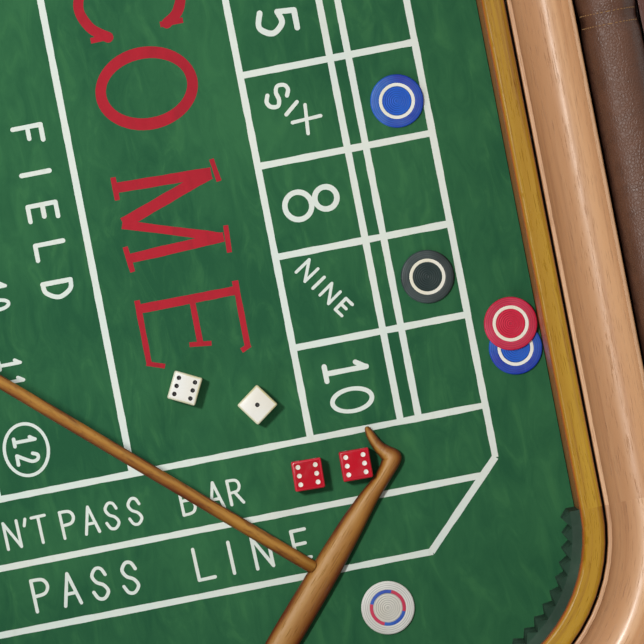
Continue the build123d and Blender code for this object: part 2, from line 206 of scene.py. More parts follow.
def rail_run_group():
    """The place on the tub or rail as (along the run, out, up), on the sides and round the corners."""
    tree, b, _, out = group("rail_run", [], [("Run", VECTOR), ("Out", FLOAT), ("Up", FLOAT)])
    split = b.node("ShaderNodeSeparateXYZ", {0: b.place()})
    x, y, z = split.outputs
    past_x = b.minus(b.math("ABSOLUTE", x), LONG_RUN)
    past_y = b.minus(b.math("ABSOLUTE", y), END_RUN)
    in_end = b.math("GREATER_THAN", past_x, 0.0)
    in_side = b.math("GREATER_THAN", past_y, 0.0)
    over_x = b.math("MAXIMUM", past_x, 0.0)
    over_y = b.math("MAXIMUM", past_y, 0.0)
    squares = b.plus(b.times(over_x, over_x), b.times(over_y, over_y))
    reach = b.math("SQRT", squares)
    outward = b.minus(reach, CORNER_RADIUS)
    arc = b.times(b.math("ARCTAN2", over_y, over_x), CORNER_RADIUS * 1.4)
    straight_x = b.times(x, b.minus(1.0, in_end))
    straight_y = b.times(y, b.minus(1.0, in_side))
    corner = b.times(arc, b.times(in_end, in_side))
    along = b.plus(b.plus(straight_x, straight_y), corner)
    run = b.node("ShaderNodeCombineXYZ", {0: along, 1: outward, 2: z})
    b.feed(out["Run"], run.outputs[0])
    b.feed(out["Out"], outward)
    b.feed(out["Up"], z)
    return tree


def wood_group():
    """Grain with drifting bands, dark streaks and pores, along the coordinate's first axis."""
    inputs = [
        ("Run", VECTOR, None),
        ("Deep", COLOUR, (0.1, 0.05, 0.02, 1)),
        ("Mid", COLOUR, (0.3, 0.15, 0.05, 1)),
        ("Pale", COLOUR, (0.5, 0.3, 0.1, 1)),
        ("Grain", FLOAT, 1.0),
    ]
    outputs = [("Color", COLOUR), ("Rough", FLOAT), ("Height", FLOAT)]
    tree, b, entry, out = group("wood_grain", inputs, outputs)
    run = entry["Run"]
    bands = b.noise(b.stretch(run, (1.6, 38.0, 38.0)), 1.0, 3.0, 0.5, 0.6)
    streaks = b.noise(b.stretch(run, (5.0, 190.0, 190.0)), 1.0, 4.0, 0.6, 0.3)
    pores = b.noise(b.stretch(run, (60.0, 1400.0, 1400.0)), 1.0, 2.0, 0.6)
    streak_mask = b.times(b.band(streaks, 0.52, 0.70), entry["Grain"])
    base = b.mix(b.band(bands, 0.34, 0.66), entry["Mid"], entry["Pale"])
    colour = b.mix(b.times(streak_mask, 0.75), base, entry["Deep"])
    pore_mask = b.band(pores, 0.60, 0.74)
    colour = b.mix(b.times(pore_mask, 0.35), colour, entry["Deep"])
    b.feed(out["Color"], colour)
    b.feed(out["Rough"], b.band(b.plus(streak_mask, pore_mask), 0.0, 1.6, 0.0, 0.2))
    b.feed(out["Height"], b.minus(b.times(streaks, 0.4), pore_mask))
    return tree


def fibre_group():
    """Felted wool: a mottled tone, and the height of its matted fibres."""
    outputs = [("Mottle", FLOAT), ("Streak", FLOAT), ("Height", FLOAT)]
    tree, b, _, out = group("felt_fibre", [], outputs)
    place = b.place()
    clouds = b.noise(place, 9.0, 3.0, 0.5, 0.4)
    strokes = b.noise(b.stretch(place, (26.0, 70.0, 10.0)), 1.0, 4.0, 0.6, 1.2)
    fibres = b.noise(place, 900.0, 3.0, 0.7, 1.5)
    nap = b.noise(place, 210.0, 2.0, 0.5, 0.8)
    mottle = b.plus(b.times(clouds, 0.55), b.times(strokes, 0.45))
    b.feed(out["Mottle"], b.band(mottle, 0.38, 0.62))
    b.feed(out["Streak"], b.band(strokes, 0.56, 0.74))
    b.feed(out["Height"], b.plus(b.times(fibres, 0.7), b.times(nap, 0.5)))
    return tree


def wear_group():
    """Handling marks: faint smears, fine scratches and a slow change of tone."""
    outputs = [("Smear", FLOAT), ("Scratch", FLOAT), ("Tone", FLOAT)]
    tree, b, entry, out = group("handling_marks", [("Size", FLOAT, 60.0)], outputs)
    place = b.place()
    b.feed(out["Smear"], b.band(b.noise(place, entry["Size"], 3.0, 0.6, 0.8), 0.40, 0.68))
    scratches = b.noise(b.stretch(place, (30.0, 900.0, 420.0)), 1.0, 2.0, 0.5, 0.2)
    b.feed(out["Scratch"], b.band(scratches, 0.66, 0.74))
    b.feed(out["Tone"], b.noise(place, b.times(entry["Size"], 0.3), 2.0, 0.5))
    return tree


GROUPS = {
    "rail_run": rail_run_group(),
    "wood_grain": wood_group(),
    "felt_fibre": fibre_group(),
    "handling_marks": wear_group(),
}


def start(name):
    """A new material: the material, its bench and its shader."""
    material = bpy.data.materials.new(name)
    material.use_nodes = True
    return material, Bench(material.node_tree), material.node_tree.nodes["Principled BSDF"]


def use(b, name, **inputs):
    """A group placed in a material, with its own values."""
    made = b.node("ShaderNodeGroup", node_tree=GROUPS[name])
    for label, value in inputs.items():
        b.feed(made.inputs[label], value)
    return made.outputs


def turned(b, axis):
    """The object coordinate with the named axis first, for grain that follows it."""
    x, y, z = b.node("ShaderNodeSeparateXYZ", {0: b.place()}).outputs
    order = {"x": (x, y, z), "y": (y, x, z), "z": (z, x, y)}[axis]
    return b.node("ShaderNodeCombineXYZ", dict(enumerate(order))).outputs[0]


def dress(b, shader, colour, rough, normal=None, plain=None):
    """Feeds a shader what changes over the surface, and sets what is the same all over."""
    fed = {"Base Color": colour, "Roughness": rough, "Normal": normal}
    for label, value in fed.items():
        if value is not None:
            b.feed(shader.inputs[label], value)
    for label, value in (plain or {}).items():
        shader.inputs[label].default_value = value


def wood(name, deep, mid, pale, run="rail", gloss=0.32, grain=1.0):
    """A varnished wood whose grain follows the rail, or one axis."""
    material, b, shader = start(name)
    along = use(b, "rail_run")["Run"] if run == "rail" else turned(b, run)
    fibre = use(b, "wood_grain", Run=along, Deep=deep, Mid=mid, Pale=pale, Grain=grain)
    marks = use(b, "handling_marks", Size=35.0)
    rough = b.plus(b.plus(fibre["Rough"], b.times(marks["Smear"], 0.10)), gloss)
    varnish = {"Coat Weight": 0.25, "Coat Roughness": 0.22}
    dress(b, shader, fibre["Color"], rough, b.bump(fibre["Height"], 0.0002), varnish)
    return material


def lined_wall(name):
    """Golden wood on the wall's top, a red-brown painted shade on its face inside the tub, and honey wood
    outside.
    """
    material, b, shader = start(name)
    run = use(b, "rail_run")

    def grained(deep, mid, pale):
        return use(b, "wood_grain", Run=run["Run"], Deep=deep, Mid=mid, Pale=pale)

    golden = grained(srgb(124, 76, 14), srgb(154, 110, 14), srgb(172, 132, 32))
    # Painted shade: the wall's inner face gets darker red-brown wood for the shade that falls inside the tub.
    inner_face_shade = grained(srgb(120, 48, 20), srgb(166, 84, 36), srgb(184, 104, 48))
    honey = grained(srgb(120, 62, 26), srgb(166, 104, 48), srgb(186, 126, 66))
    inside = b.band(run["Out"], 0.0004, 0.0016, 1.0, 0.0)
    outside = b.band(run["Out"], WALL_THICK - 0.0015, WALL_THICK - 0.0002)
    colour = b.mix(outside, b.mix(inside, golden["Color"], inner_face_shade["Color"]), honey["Color"])
    wax = {"Coat Weight": 0.04, "Coat Roughness": 0.25, "Specular IOR Level": 0.2}
    dress(b, shader, colour, b.plus(golden["Rough"], 0.34), b.bump(golden["Height"], 0.0002), wax)
    return material


def felt_cloth():
    """The green wool of the layout."""
    material, b, shader = start("green_felt")
    wool = use(b, "felt_fibre")
    green = b.mix(wool["Mottle"], srgb(36, 89, 59), srgb(52, 108, 69))
    green = b.mix(b.times(wool["Streak"], 0.4), green, srgb(62, 118, 72))
    rough = b.band(wool["Height"], 0.0, 1.0, 0.82, 0.95)
    fuzz = {"Sheen Weight": 0.06, "Sheen Roughness": 0.5, "Specular IOR Level": 0.12}
    dress(b, shader, green, rough, b.bump(wool["Height"], 0.0003, 0.6), fuzz)
    return material


def printed(name, colour, second, worn):
    """Ink on the felt: the wool's own fibres show through it where it is thin."""
    material, b, shader = start(name)
    wool = use(b, "felt_fibre")
    ink = b.mix(b.times(wool["Streak"], 0.22), b.mix(wool["Mottle"], colour, second), worn)
    rough = b.band(wool["Height"], 0.0, 1.0, 0.7, 0.88)
    dress(b, shader, ink, rough, b.bump(wool["Height"], 0.0002, 0.5), {"Specular IOR Level": 0.25})
    return material


def moulded(name, colour, worn, rough=0.42, coat=0.0):
    """Pressed clay composite, resin or rubber, with smears and fine scratches from handling."""
    material, b, shader = start(name)
    marks = use(b, "handling_marks", Size=90.0)
    tone = b.mix(b.band(marks["Tone"], 0.38, 0.62), colour, worn)
    tone = b.mix(b.times(marks["Scratch"], 0.4), tone, worn)
    grit = b.bump(b.noise(b.place(), 1600.0, 2.0), 0.00005, 0.6)
    shine = {"Coat Weight": coat, "Coat Roughness": 0.08, "Specular IOR Level": 0.3}
    dress(b, shader, tone, b.plus(b.times(marks["Smear"], 0.16), rough), grit, shine)
    return material


def metal(name, colour, dull, rough, bare=1.0):
    """Brass, steel or powder-coated sheet, duller where hands don't rub it."""
    material, b, shader = start(name)
    marks = use(b, "handling_marks", Size=40.0)
    tone = b.mix(b.band(marks["Tone"], 0.35, 0.7), colour, dull)
    tone = b.mix(b.times(marks["Scratch"], 0.5), tone, dull)
    grit = b.bump(b.noise(b.place(), 1100.0, 3.0), 0.00006, 0.7)
    dress(b, shader, tone, b.plus(b.times(marks["Smear"], 0.14), rough), grit, {"Metallic": bare})
    return material


def arm_hide():
    """The arm rest's dark brown leather: pebbled grain and rubbed crowns."""
    material, b, shader = start("arm_leather")
    place = b.place()
    pebble = b.node("ShaderNodeTexVoronoi", {"Vector": place, "Scale": 420.0}, feature="DISTANCE_TO_EDGE")
    creases = b.noise(place, 60.0, 5.0, 0.65, 1.0)
    crown = b.band(use(b, "rail_run")["Up"], 0.895, 0.914)
    hide = b.mix(b.band(creases, 0.35, 0.65), srgb(58, 34, 24), srgb(80, 48, 32))
    hide = b.mix(b.times(crown, 0.45), hide, srgb(112, 72, 48))
    height = b.plus(b.band(pebble.outputs["Distance"], 0.0, 0.25), b.times(creases, 0.8))
    dress(b, shader, hide, b.band(creases, 0.3, 0.7, 0.38, 0.56), b.bump(height, 0.00025, 0.7))
    return material


def silvered():
    """Mirror glass with a trace of haze."""
    material, b, shader = start("mirror_silver")
    smear = use(b, "handling_marks", Size=14.0)["Smear"]
    silver = b.mix(smear, srgb(222, 228, 226), srgb(206, 214, 212))
    dress(b, shader, silver, b.times(smear, 0.05), plain={"Metallic": 1.0})
    return material


def pale_floor():
    """The plain pale floor under the table."""
    material, b, shader = start("studio_floor")
    tone = b.band(b.noise(b.place(), 1.2, 2.0), 0.3, 0.7)
    dress(b, shader, b.mix(tone, srgb(232, 232, 230), srgb(238, 238, 236)), 0.7)
    return material


MAHOGANY = (srgb(40, 16, 10), srgb(84, 40, 24), srgb(110, 56, 32))
ROSE_WOOD = (srgb(140, 92, 60), srgb(186, 138, 96), srgb(204, 160, 118))
STICK_WOOD = (srgb(92, 44, 20), srgb(146, 92, 32), srgb(172, 120, 48))
BIRCH = (srgb(150, 116, 76), srgb(196, 164, 118), srgb(212, 182, 138))
WENGE = (srgb(36, 18, 12), srgb(66, 34, 22), srgb(84, 46, 28))
FINISH = {
    "felt": felt_cloth(),
    "white_ink": printed("white_ink", srgb(216, 228, 220), srgb(224, 230, 220), srgb(176, 198, 184)),
    "red_ink": printed("red_ink", srgb(178, 30, 46), srgb(160, 26, 42), srgb(128, 44, 46)),
    "black_ink": printed("black_ink", srgb(24, 30, 28), srgb(34, 40, 36), srgb(40, 62, 48)),
    "lined_wall": lined_wall("lined_wall_wood"),
    "rack": wood("rack_wood", *ROSE_WOOD, gloss=0.4, grain=0.5),
    "mahogany_rail": wood("mahogany_rail", *MAHOGANY),
    "mahogany_x": wood("mahogany_along_table", *MAHOGANY, run="x"),
    "mahogany_y": wood("mahogany_across_table", *MAHOGANY, run="y"),
    "mahogany_z": wood("mahogany_upright", *MAHOGANY, run="z"),
    "tray": wood("tray_wood", *WENGE, run="x"),
    "ply": wood("birch_ply", *BIRCH, run="x", gloss=0.6),
    "underlay": moulded("foam_underlay", srgb(44, 44, 44), srgb(56, 56, 56), 0.9),
    "bumper": moulded("bumper_rubber", srgb(30, 56, 42), srgb(42, 70, 54), 0.62),
    "hide": arm_hide(),
    "thread": moulded("waxed_thread", srgb(168, 128, 84), srgb(140, 104, 66), 0.7),
    "mirror": silvered(),
    "brass": metal("polished_brass", srgb(206, 160, 82), srgb(160, 118, 58), 0.22),
    "steel": metal("zinc_steel", srgb(176, 178, 180), srgb(128, 130, 132), 0.34),
    "powder": metal("black_powder_coat", srgb(34, 34, 36), srgb(50, 50, 52), 0.46, bare=0.0),
    "acrylic": moulded("black_acrylic", srgb(22, 22, 24), srgb(36, 36, 40), 0.12, 0.6),
    "ivory": moulded("ivory_resin", srgb(232, 232, 226), srgb(224, 220, 206), 0.28, 0.2),
    "ruby": moulded("ruby_resin", srgb(190, 8, 34), srgb(172, 6, 28), 0.1),
    # Painted shading on the dice's eased edges: patches of lighter red on the red dice, and a darker, yellower
    # cream on the white ones.
    "ivory_edge": moulded("ivory_painted_edge_shading", srgb(226, 226, 204), srgb(206, 200, 150), 0.4),
    "ruby_edge": moulded("ruby_painted_edge_shading", srgb(184, 12, 36), srgb(206, 40, 60), 0.36),
    "pip_black": moulded("pip_black", srgb(28, 26, 26), srgb(40, 38, 36), 0.4),
    "pip_white": moulded("pip_white", srgb(238, 234, 226), srgb(222, 216, 202), 0.4),
    "chip_cream": moulded("chip_cream", srgb(236, 238, 232), srgb(228, 226, 206), 0.5),
}


def chip_finish(name, rim, rim_worn, centre, centre_worn):
    FINISH[f"{name}_rim"] = moulded(f"chip_{name}_rim", rim, rim_worn, 0.44)
    FINISH[f"{name}_centre"] = moulded(f"chip_{name}_centre", centre, centre_worn, 0.44)
    # The finishes below are darkened copies of the centre and rim colours: painted shade on the flanks of the
    # chip's ridges and grooves, darkest in the grooves round the cream ring.
    low = [tuple(part * 0.74 for part in tone[:3]) + (1.0,) for tone in (centre, centre_worn)]
    FINISH[f"{name}_low"] = moulded(f"chip_{name}_low", *low, 0.5)
    rim_low = [tuple(part * 0.7 for part in tone[:3]) + (1.0,) for tone in (rim, rim_worn)]
    FINISH[f"{name}_rim_low"] = moulded(f"chip_{name}_rim_low", *rim_low, 0.5)
    dark = tuple(part * 0.3 for part in centre[:3]) + (1.0,)
    FINISH[f"{name}_groove"] = moulded(f"chip_{name}_groove", dark, low[0], 0.6)


chip_finish("blue", srgb(20, 52, 168), srgb(40, 100, 190), srgb(34, 106, 214), srgb(26, 82, 190))
chip_finish("black", srgb(30, 42, 42), srgb(56, 70, 70), srgb(48, 68, 65), srgb(34, 52, 52))
chip_finish("red", srgb(184, 16, 54), srgb(202, 44, 82), srgb(222, 36, 74), srgb(202, 30, 64))
chip_finish("white", srgb(228, 228, 222), srgb(214, 212, 204), srgb(226, 224, 216), srgb(214, 210, 198))
chip_finish("green", srgb(28, 96, 54), srgb(44, 116, 70), srgb(30, 100, 60), srgb(24, 84, 48))
chip_finish("violet", srgb(86, 48, 122), srgb(104, 64, 140), srgb(84, 46, 118), srgb(70, 40, 100))


# ---- Mesh building ----
def piece(name, bm, finishes, body, slot, replaced=(), smooth=32):
    """Turns a bench mesh into a piece of the table that rides on a body."""
    bmesh.ops.recalc_face_normals(bm, faces=bm.faces)
    mesh = bpy.data.meshes.new(name)
    bm.to_mesh(mesh)
    bm.free()
    for finish in finishes:
        mesh.materials.append(FINISH[finish])
    if smooth:
        mesh.shade_smooth()
        mesh.set_sharp_from_angle(angle=radians(smooth))
    made = bpy.data.objects.new(name, mesh)
    bpy.context.scene.collection.objects.link(made)
    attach(made, body)
    if replaced:
        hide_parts(*replaced)
    return made


def ring_faces(bm, a, b, finish=0, split=None):
    """The faces between two rings of points, cut into triangles where split names a diagonal."""
    count = len(a)
    for i in range(count):
        j = (i + 1) % count
        if split is None:
            faces = [(a[i], a[j], b[j], b[i])]
        elif split(i):
            faces = [(a[i], a[j], b[j]), (a[i], b[j], b[i])]
        else:
            faces = [(a[i], a[j], b[i]), (a[j], b[j], b[i])]
        for corners in faces:
            bm.faces.new(corners).material_index = finish


def loft(bm, rings, finish=0):
    """A closed tube through rings of points."""
    rows = [[bm.verts.new(point) for point in ring] for ring in rings]
    for a, b in zip(rows, rows[1:]):
        ring_faces(bm, a, b, finish)
    for end in (rows[0], rows[-1]):
        bm.faces.new(end).material_index = finish
    return rows


def lathe(bm, profile, place, segments=48, band_finish=None):
    """A turned solid: profile is (radius, height) from end to end, and place maps (x, y, z) into the scene.

    band_finish(k, i) is the finish of the k-th band at the i-th segment.
    """
    rows = []
    for radius, height in profile:
        turn = [(radius * cos(tau * i / segments), radius * sin(tau * i / segments)) for i in range(segments)]
        rows.append([bm.verts.new(place(x, y, height)) for x, y in turn])
    for k, (a, b) in enumerate(zip(rows, rows[1:])):
        for i in range(segments):
            j = (i + 1) % segments
            face = bm.faces.new((a[i], a[j], b[j], b[i]))
            face.material_index = band_finish(k, i) if band_finish else 0
    for k, row in ((0, rows[0]), (len(rows) - 2, rows[-1])):
        bm.faces.new(row).material_index = band_finish(k, 0) if band_finish else 0


def side_frames(side, steps):
    """Places along one straight side: (point on the inner wall face, outward direction)."""
    angle = radians(SIDES[side])
    outward = Vector((cos(angle), sin(angle), 0))
    along = Vector((-outward.y, outward.x, 0))
    at_end = side in ("left", "right")
    distance = HALF_LENGTH if at_end else HALF_WIDTH
    run = END_RUN if at_end else LONG_RUN
    return [(outward * distance + along * run * (2 * i / steps - 1), outward) for i in range(steps + 1)]


def corner_frames(quadrant, steps):
    """The same round one corner: quadrant 0 is the corner at +X, +Y, counted anticlockwise."""
    middle = radians(90 * quadrant + 45)
    centre = Vector((LONG_RUN if cos(middle) > 0 else -LONG_RUN, END_RUN if sin(middle) > 0 else -END_RUN, 0))
    frames = []
    for i in range(steps + 1):
        angle = radians(90 * (quadrant + i / steps))
        outward = Vector((cos(angle), sin(angle), 0))
        frames.append((centre + outward * CORNER_RADIUS, outward))
    return frames


def at(place, out, up):
    """A point of a section, at one place of the run."""
    base, outward = place
    return base + outward * (out * MM) + Vector((0, 0, up * MM))


# ---- Layout printing ----
def smooth_line(points, steps=8):
    """A curve through the points."""
    last = len(points) - 1
    made = []
    for i in range(last):
        a, b, c, d = (points[min(max(i + k, 0), last)] for k in (-1, 0, 1, 2))
        slope = c - a
        square = 2 * a - 5 * b + 4 * c - d
        cube = 3 * b - a - 3 * c + d
        for t in (k / steps for k in range(steps)):
            made.append(0.5 * (2 * b + slope * t + square * t * t + cube * t ** 3))
    made.append(points[-1].copy())
    return made


def spaced(points, step):
    """Points along straight runs, no further apart than step."""
    made = [points[0].copy()]
    for a, b in zip(points, points[1:]):
        parts = max(1, round((b - a).length / step))
        made += [a.lerp(b, i / parts) for i in range(1, parts + 1)]
    return made


class Ink:
    """Strokes of one ink: thin closed strips, a few hundredths of a millimetre proud of the felt."""

    def __init__(self):
        self.bm = bmesh.new()
        self.count = 0

    def lift(self):
        """Crossing strokes take turns to lie on top, so that no two share a surface."""
        self.count += 1
        return PRINT_LIFT + LAYER * (self.count % 9)

    def point(self, place, up):
        return Vector((place.x * MM, place.y * MM, FELT_TOP + up * MM))

    def strip(self, spine, widths, closed=False):
        lift = self.lift()
        rows = []
        count = len(spine)
        for i, (place, width) in enumerate(zip(spine, widths)):
            before = spine[i - 1] if i or closed else spine[0]
            after = spine[(i + 1) % count] if i < count - 1 or closed else spine[-1]
            along = (after - before).normalized()
            side = Vector((-along.y, along.x)) * (width / 2)
            edge = [self.point(place + side, lift), self.point(place - side, lift)]
            edge += [self.point(place - side, PRINT_ROOT), self.point(place + side, PRINT_ROOT)]
            rows.append([self.bm.verts.new(corner) for corner in edge])
        pairs = list(zip(rows, rows[1:])) + ([(rows[-1], rows[0])] if closed else [])
        for a, b in pairs:
            ring_faces(self.bm, a, b)
        if not closed:
            self.bm.faces.new(rows[0])
            self.bm.faces.new(rows[-1])

    def stroke(self, points, width, curved=False, round_ends=True, wobble=0.05):
        """A brushed stroke through points, with a hand's small unevenness."""
        spine = smooth_line(points) if curved else spaced(points, 6.0)
        seed = Vector((self.count * 3.7, 0, 0))
        widths = []
        for place in spine:
            drift = noise.noise(Vector((place.x * 0.09, place.y * 0.09, 0)) + seed)
            widths.append(width * (1 + wobble * 2 * drift))
        if round_ends:
            for end in (0, -1):
                self.round_end(spine, widths, end)
        self.strip(spine, widths)

    def round_end(self, spine, widths, end):
        """Narrows a stroke to a round tip at its first or last point."""
        inner = spine[1] if end == 0 else spine[-2]
        tip = spine[end].copy()
        away = (tip - inner).normalized()
        half = widths[end] / 2
        for angle in (radians(26 * step) for step in (1, 2, 3)):
            where = 0 if end == 0 else len(spine)
            spine.insert(where, tip + away * (half * sin(angle)))
            widths.insert(where, 2 * half * cos(angle))

    def loop(self, centre, reach, rise, width, lean=0.0, thin=0.0):
        """An oval ring, reach and rise to each side of its centre, thinner at its sides by the share thin."""
        spine = []
        widths = []
        count = 56
        for i in range(count):
            angle = tau * i / count
            place = Vector((reach * cos(angle), rise * sin(angle)))
            place.rotate(Matrix.Rotation(lean, 2))
            spine.append(centre + place)
            drift = noise.noise(Vector((cos(angle), sin(angle), self.count)))
            widths.append(width * (1 - thin * cos(angle) ** 2) * (1 + 0.08 * drift))
        self.strip(spine, widths, closed=True)

    def area(self, outline):
        """A filled shape with straight sides."""
        lift = self.lift()
        top = [self.bm.verts.new(self.point(place, lift)) for place in outline]
        low = [self.bm.verts.new(self.point(place, PRINT_ROOT)) for place in outline]
        ring_faces(self.bm, top, low)
        self.bm.faces.new(top)
        self.bm.faces.new(low)


LINE, CURVE, RING = False, True, "ring"


def joined(*points):
    """Straight strokes from point to point."""
    return [(LINE, pair) for pair in zip(points, points[1:])]


# Each glyph is a list of strokes in a unit box: (kind, points). A ring has its centre and its half sizes.
STEM = joined((0, 0), (0, 1))
BOWL = [(RING, [(0.5, 0.5), (0.5, 0.5)])]
S_CURVE = [
    (0.94, 0.74), (0.74, 0.95), (0.4, 0.98), (0.12, 0.78), (0.3, 0.56), (0.72, 0.42), (0.92, 0.2), (0.62, 0.01),
    (0.25, 0.04), (0.02, 0.26),
]
GLYPHS = {
    "A": joined((0, 0), (0.5, 1), (1, 0)) + joined((0.22, 0.36), (0.78, 0.36)),
    "B": STEM + [
        (CURVE, [(0, 1), (0.55, 0.97), (0.78, 0.78), (0.55, 0.57), (0.02, 0.53)]),
        (CURVE, [(0.02, 0.53), (0.7, 0.5), (0.95, 0.27), (0.7, 0.04), (0, 0)]),
    ],
    "C": [(CURVE, [(0.95, 0.8), (0.62, 1), (0.2, 0.87), (0, 0.5), (0.2, 0.13), (0.62, 0), (0.95, 0.2)])],
    "D": STEM + [(CURVE, [(0, 1), (0.6, 0.93), (1, 0.5), (0.6, 0.07), (0, 0)])],
    "E": STEM + joined((0, 1), (0.95, 1)) + joined((0, 0.52), (0.8, 0.52)) + joined((0, 0), (1, 0)),
    "F": STEM + joined((0, 1), (1, 1)) + joined((0, 0.52), (0.8, 0.52)),
    "H": STEM + joined((1, 0), (1, 1)) + joined((0, 0.5), (1, 0.5)),
    "I": joined((0.5, 0), (0.5, 1)),
    "L": joined((0, 1), (0, 0), (1, 0)),
    "N": joined((0, 0), (0, 1), (1, 0), (1, 1)),
    "O": BOWL,
    "P": STEM + [(CURVE, [(0, 1), (0.7, 0.96), (0.95, 0.74), (0.7, 0.52), (0, 0.48)])],
    "R": STEM + [(CURVE, [(0, 1), (0.7, 0.96), (0.92, 0.74), (0.7, 0.52), (0, 0.48)])]
    + joined((0.45, 0.48), (1, 0)),
    "S": [(CURVE, S_CURVE)],
    "T": joined((0.5, 0), (0.5, 1)) + joined((0, 1), (1, 1)),
    "V": joined((0, 1), (0.5, 0), (1, 1)),
    "X": joined((0, 0), (1, 1)) + joined((0, 1), (1, 0)),
    "Y": joined((0, 1), (0.5, 0.5)) + joined((1, 1), (0.5, 0.5), (0.5, 0)),
    "'": joined((0.55, 1), (0.4, 0.76)),
    "0": BOWL,
    "1": joined((0.5, 0), (0.5, 1)) + joined((0.5, 0.98), (0.16, 0.76)) + joined((0.1, 0), (0.9, 0)),
    "2": [(CURVE, [(0.05, 0.76), (0.3, 0.98), (0.75, 0.95), (0.9, 0.7), (0.55, 0.38), (0.03, 0.02)])]
    + joined((0.02, 0), (1, 0)),
    "3": [
        (CURVE, [(0.08, 0.88), (0.5, 1), (0.86, 0.8), (0.7, 0.58), (0.38, 0.53)]),
        (CURVE, [(0.38, 0.53), (0.84, 0.45), (0.94, 0.2), (0.58, 0), (0.04, 0.14)]),
    ],
    "4": joined((0.74, 0), (0.74, 1), (0, 0.32), (1, 0.32)),
    "5": joined((0.9, 1), (0.16, 1), (0.1, 0.56))
    + [(CURVE, [(0.1, 0.56), (0.58, 0.63), (0.94, 0.34), (0.62, 0.02), (0.03, 0.1)])],
    "9": [(RING, [(0.46, 0.71), (0.4, 0.28)]), (CURVE, [(0.86, 0.72), (0.82, 0.36), (0.5, 0.0)])],
}


def letter(ink, glyph, centre, wide, tall, width, heading=0.0):
    """One letter about its centre. heading is the reading direction, anticlockwise from +X in degrees."""
    turn = Matrix.Rotation(radians(heading), 2)
    across, rise = wide - width, tall - width

    def put(x, y):
        return Vector(centre) + turn @ Vector(((x - 0.5) * across, (y - 0.5) * rise))

    for kind, points in GLYPHS[glyph]:
        if kind == RING:
            middle, half = points
            ink.loop(put(*middle), half[0] * across, half[1] * rise, width, radians(heading))
        else:
            ink.stroke([put(*point) for point in points], width, curved=kind)


def word(ink, text, centre, tall, width, heading=0.0, pitch=0.82, wide=0.6):
    """A line of letters about its centre, spaced by pitch times the height."""
    turn = Matrix.Rotation(radians(heading), 2)
    step = tall * pitch
    offset = -(len(text) - 1) / 2 * step
    for i, glyph in enumerate(text):
        if glyph != " ":
            spot = Vector(centre) + turn @ Vector((offset + i * step, 0))
            letter(ink, glyph, spot, tall * wide, tall, width, heading)


def layout_point(along, across, hand=1):
    """A layout place in table millimetres; hand is 1 for the right half and -1 for its mirror image."""
    return Vector((hand * (ORIGIN_X / MM + along), ORIGIN_Y / MM + across))


def shifted(shift):
    """Layout places of the right half, moved along the table by shift."""

    def spot(along, across):
        return layout_point(along, across) + Vector((shift, 0))

    return spot


def half_lines(ink, hand):
    """The white lines of one half of the layout."""

    def rule(a, b, width=1.0):
        ends = [layout_point(*a, hand), layout_point(*b, hand)]
        ink.stroke(ends, LINE_WIDTH * width, round_ends=False, wobble=0.075)

    over = LINE_WIDTH / 2
    for along in BOX_LINES:
        rule((along, COLUMN_FOOT - over), (along, over))
    rule((BOX_START, COLUMN_FOOT), (BOX_START, PASS_FOOT - over))
    for across in (COLUMN_FOOT, STRIP_LOW, STRIP_HIGH):
        rule((BOX_START, across), (0, across))
    rule((BOX_START - over, 0), (DONT_PASS_END - DONT_PASS_EASE, 0))
    rule((0, over), (0, FIELD_FOOT - over), 0.95)
    for across in (COME_FOOT, FIELD_FOOT):
        rule((BOX_START, across), (0, across))
    rule((DONT_PASS_END, -DONT_PASS_EASE), (DONT_PASS_END, DONT_PASS_FOOT - over), 0.95)
    rule((BOX_START - over, DONT_PASS_FOOT), (DONT_PASS_END, DONT_PASS_FOOT))
    rule((PASS_END - CHAMFER, 0), (PASS_END, -CHAMFER), 1.05)
    rule((PASS_END, -CHAMFER + 1), (PASS_END, PASS_FOOT + CHAMFER - 1), 0.95)
    rule((PASS_END, PASS_FOOT + CHAMFER), (PASS_END - CHAMFER, PASS_FOOT), 1.05)
    rule((BOX_START - over, PASS_FOOT), (PASS_END - CHAMFER + 1, PASS_FOOT))


def point_boxes(ink, shift):
    """The names of the six point boxes; shift moves them from the right half to the left."""
    spot = shifted(shift)
    middles = [(a + b) / 2 for a, b in zip(BOX_LINES, BOX_LINES[1:] + (0.0,))]
    letter(ink, "4", spot(middles[0], -96), 22, 32, 4.2)
    letter(ink, "5", spot(middles[1], -96), 22, 32, 4.2)
    letter(ink, "S", spot(-250.6, -105.8), 15.0, 22.0, 3.0, 40)
    letter(ink, "I", spot(-239.7, -97.4), 4, 15.0, 2.9, 39)
    letter(ink, "X", spot(-229.8, -88.2), 16.5, 18.5, 2.6, 44)
    ink.loop(spot(-168.8, -106.2), 10.0, 9.8, 3.9)
    ink.loop(spot(-170.7, -85.4), 8.1, 8.1, 4.1)
    letter(ink, "N", spot(-121.3, -108.9), 11.5, 15.5, 2.2, 33)
    letter(ink, "I", spot(-110.9, -102.4), 4, 14.0, 2.4, 33)
    letter(ink, "N", spot(-101.6, -95.6), 11.0, 14.5, 2.2, 34)
    letter(ink, "E", spot(-89.9, -87.6), 9.0, 13.5, 2.3, 35)
    letter(ink, "1", spot(-44.4, -95.0), 17.5, 34.0, 3.8)
    ink.loop(spot(-22.3, -94.6), 8.1, 14.6, 3.4, thin=0.12)


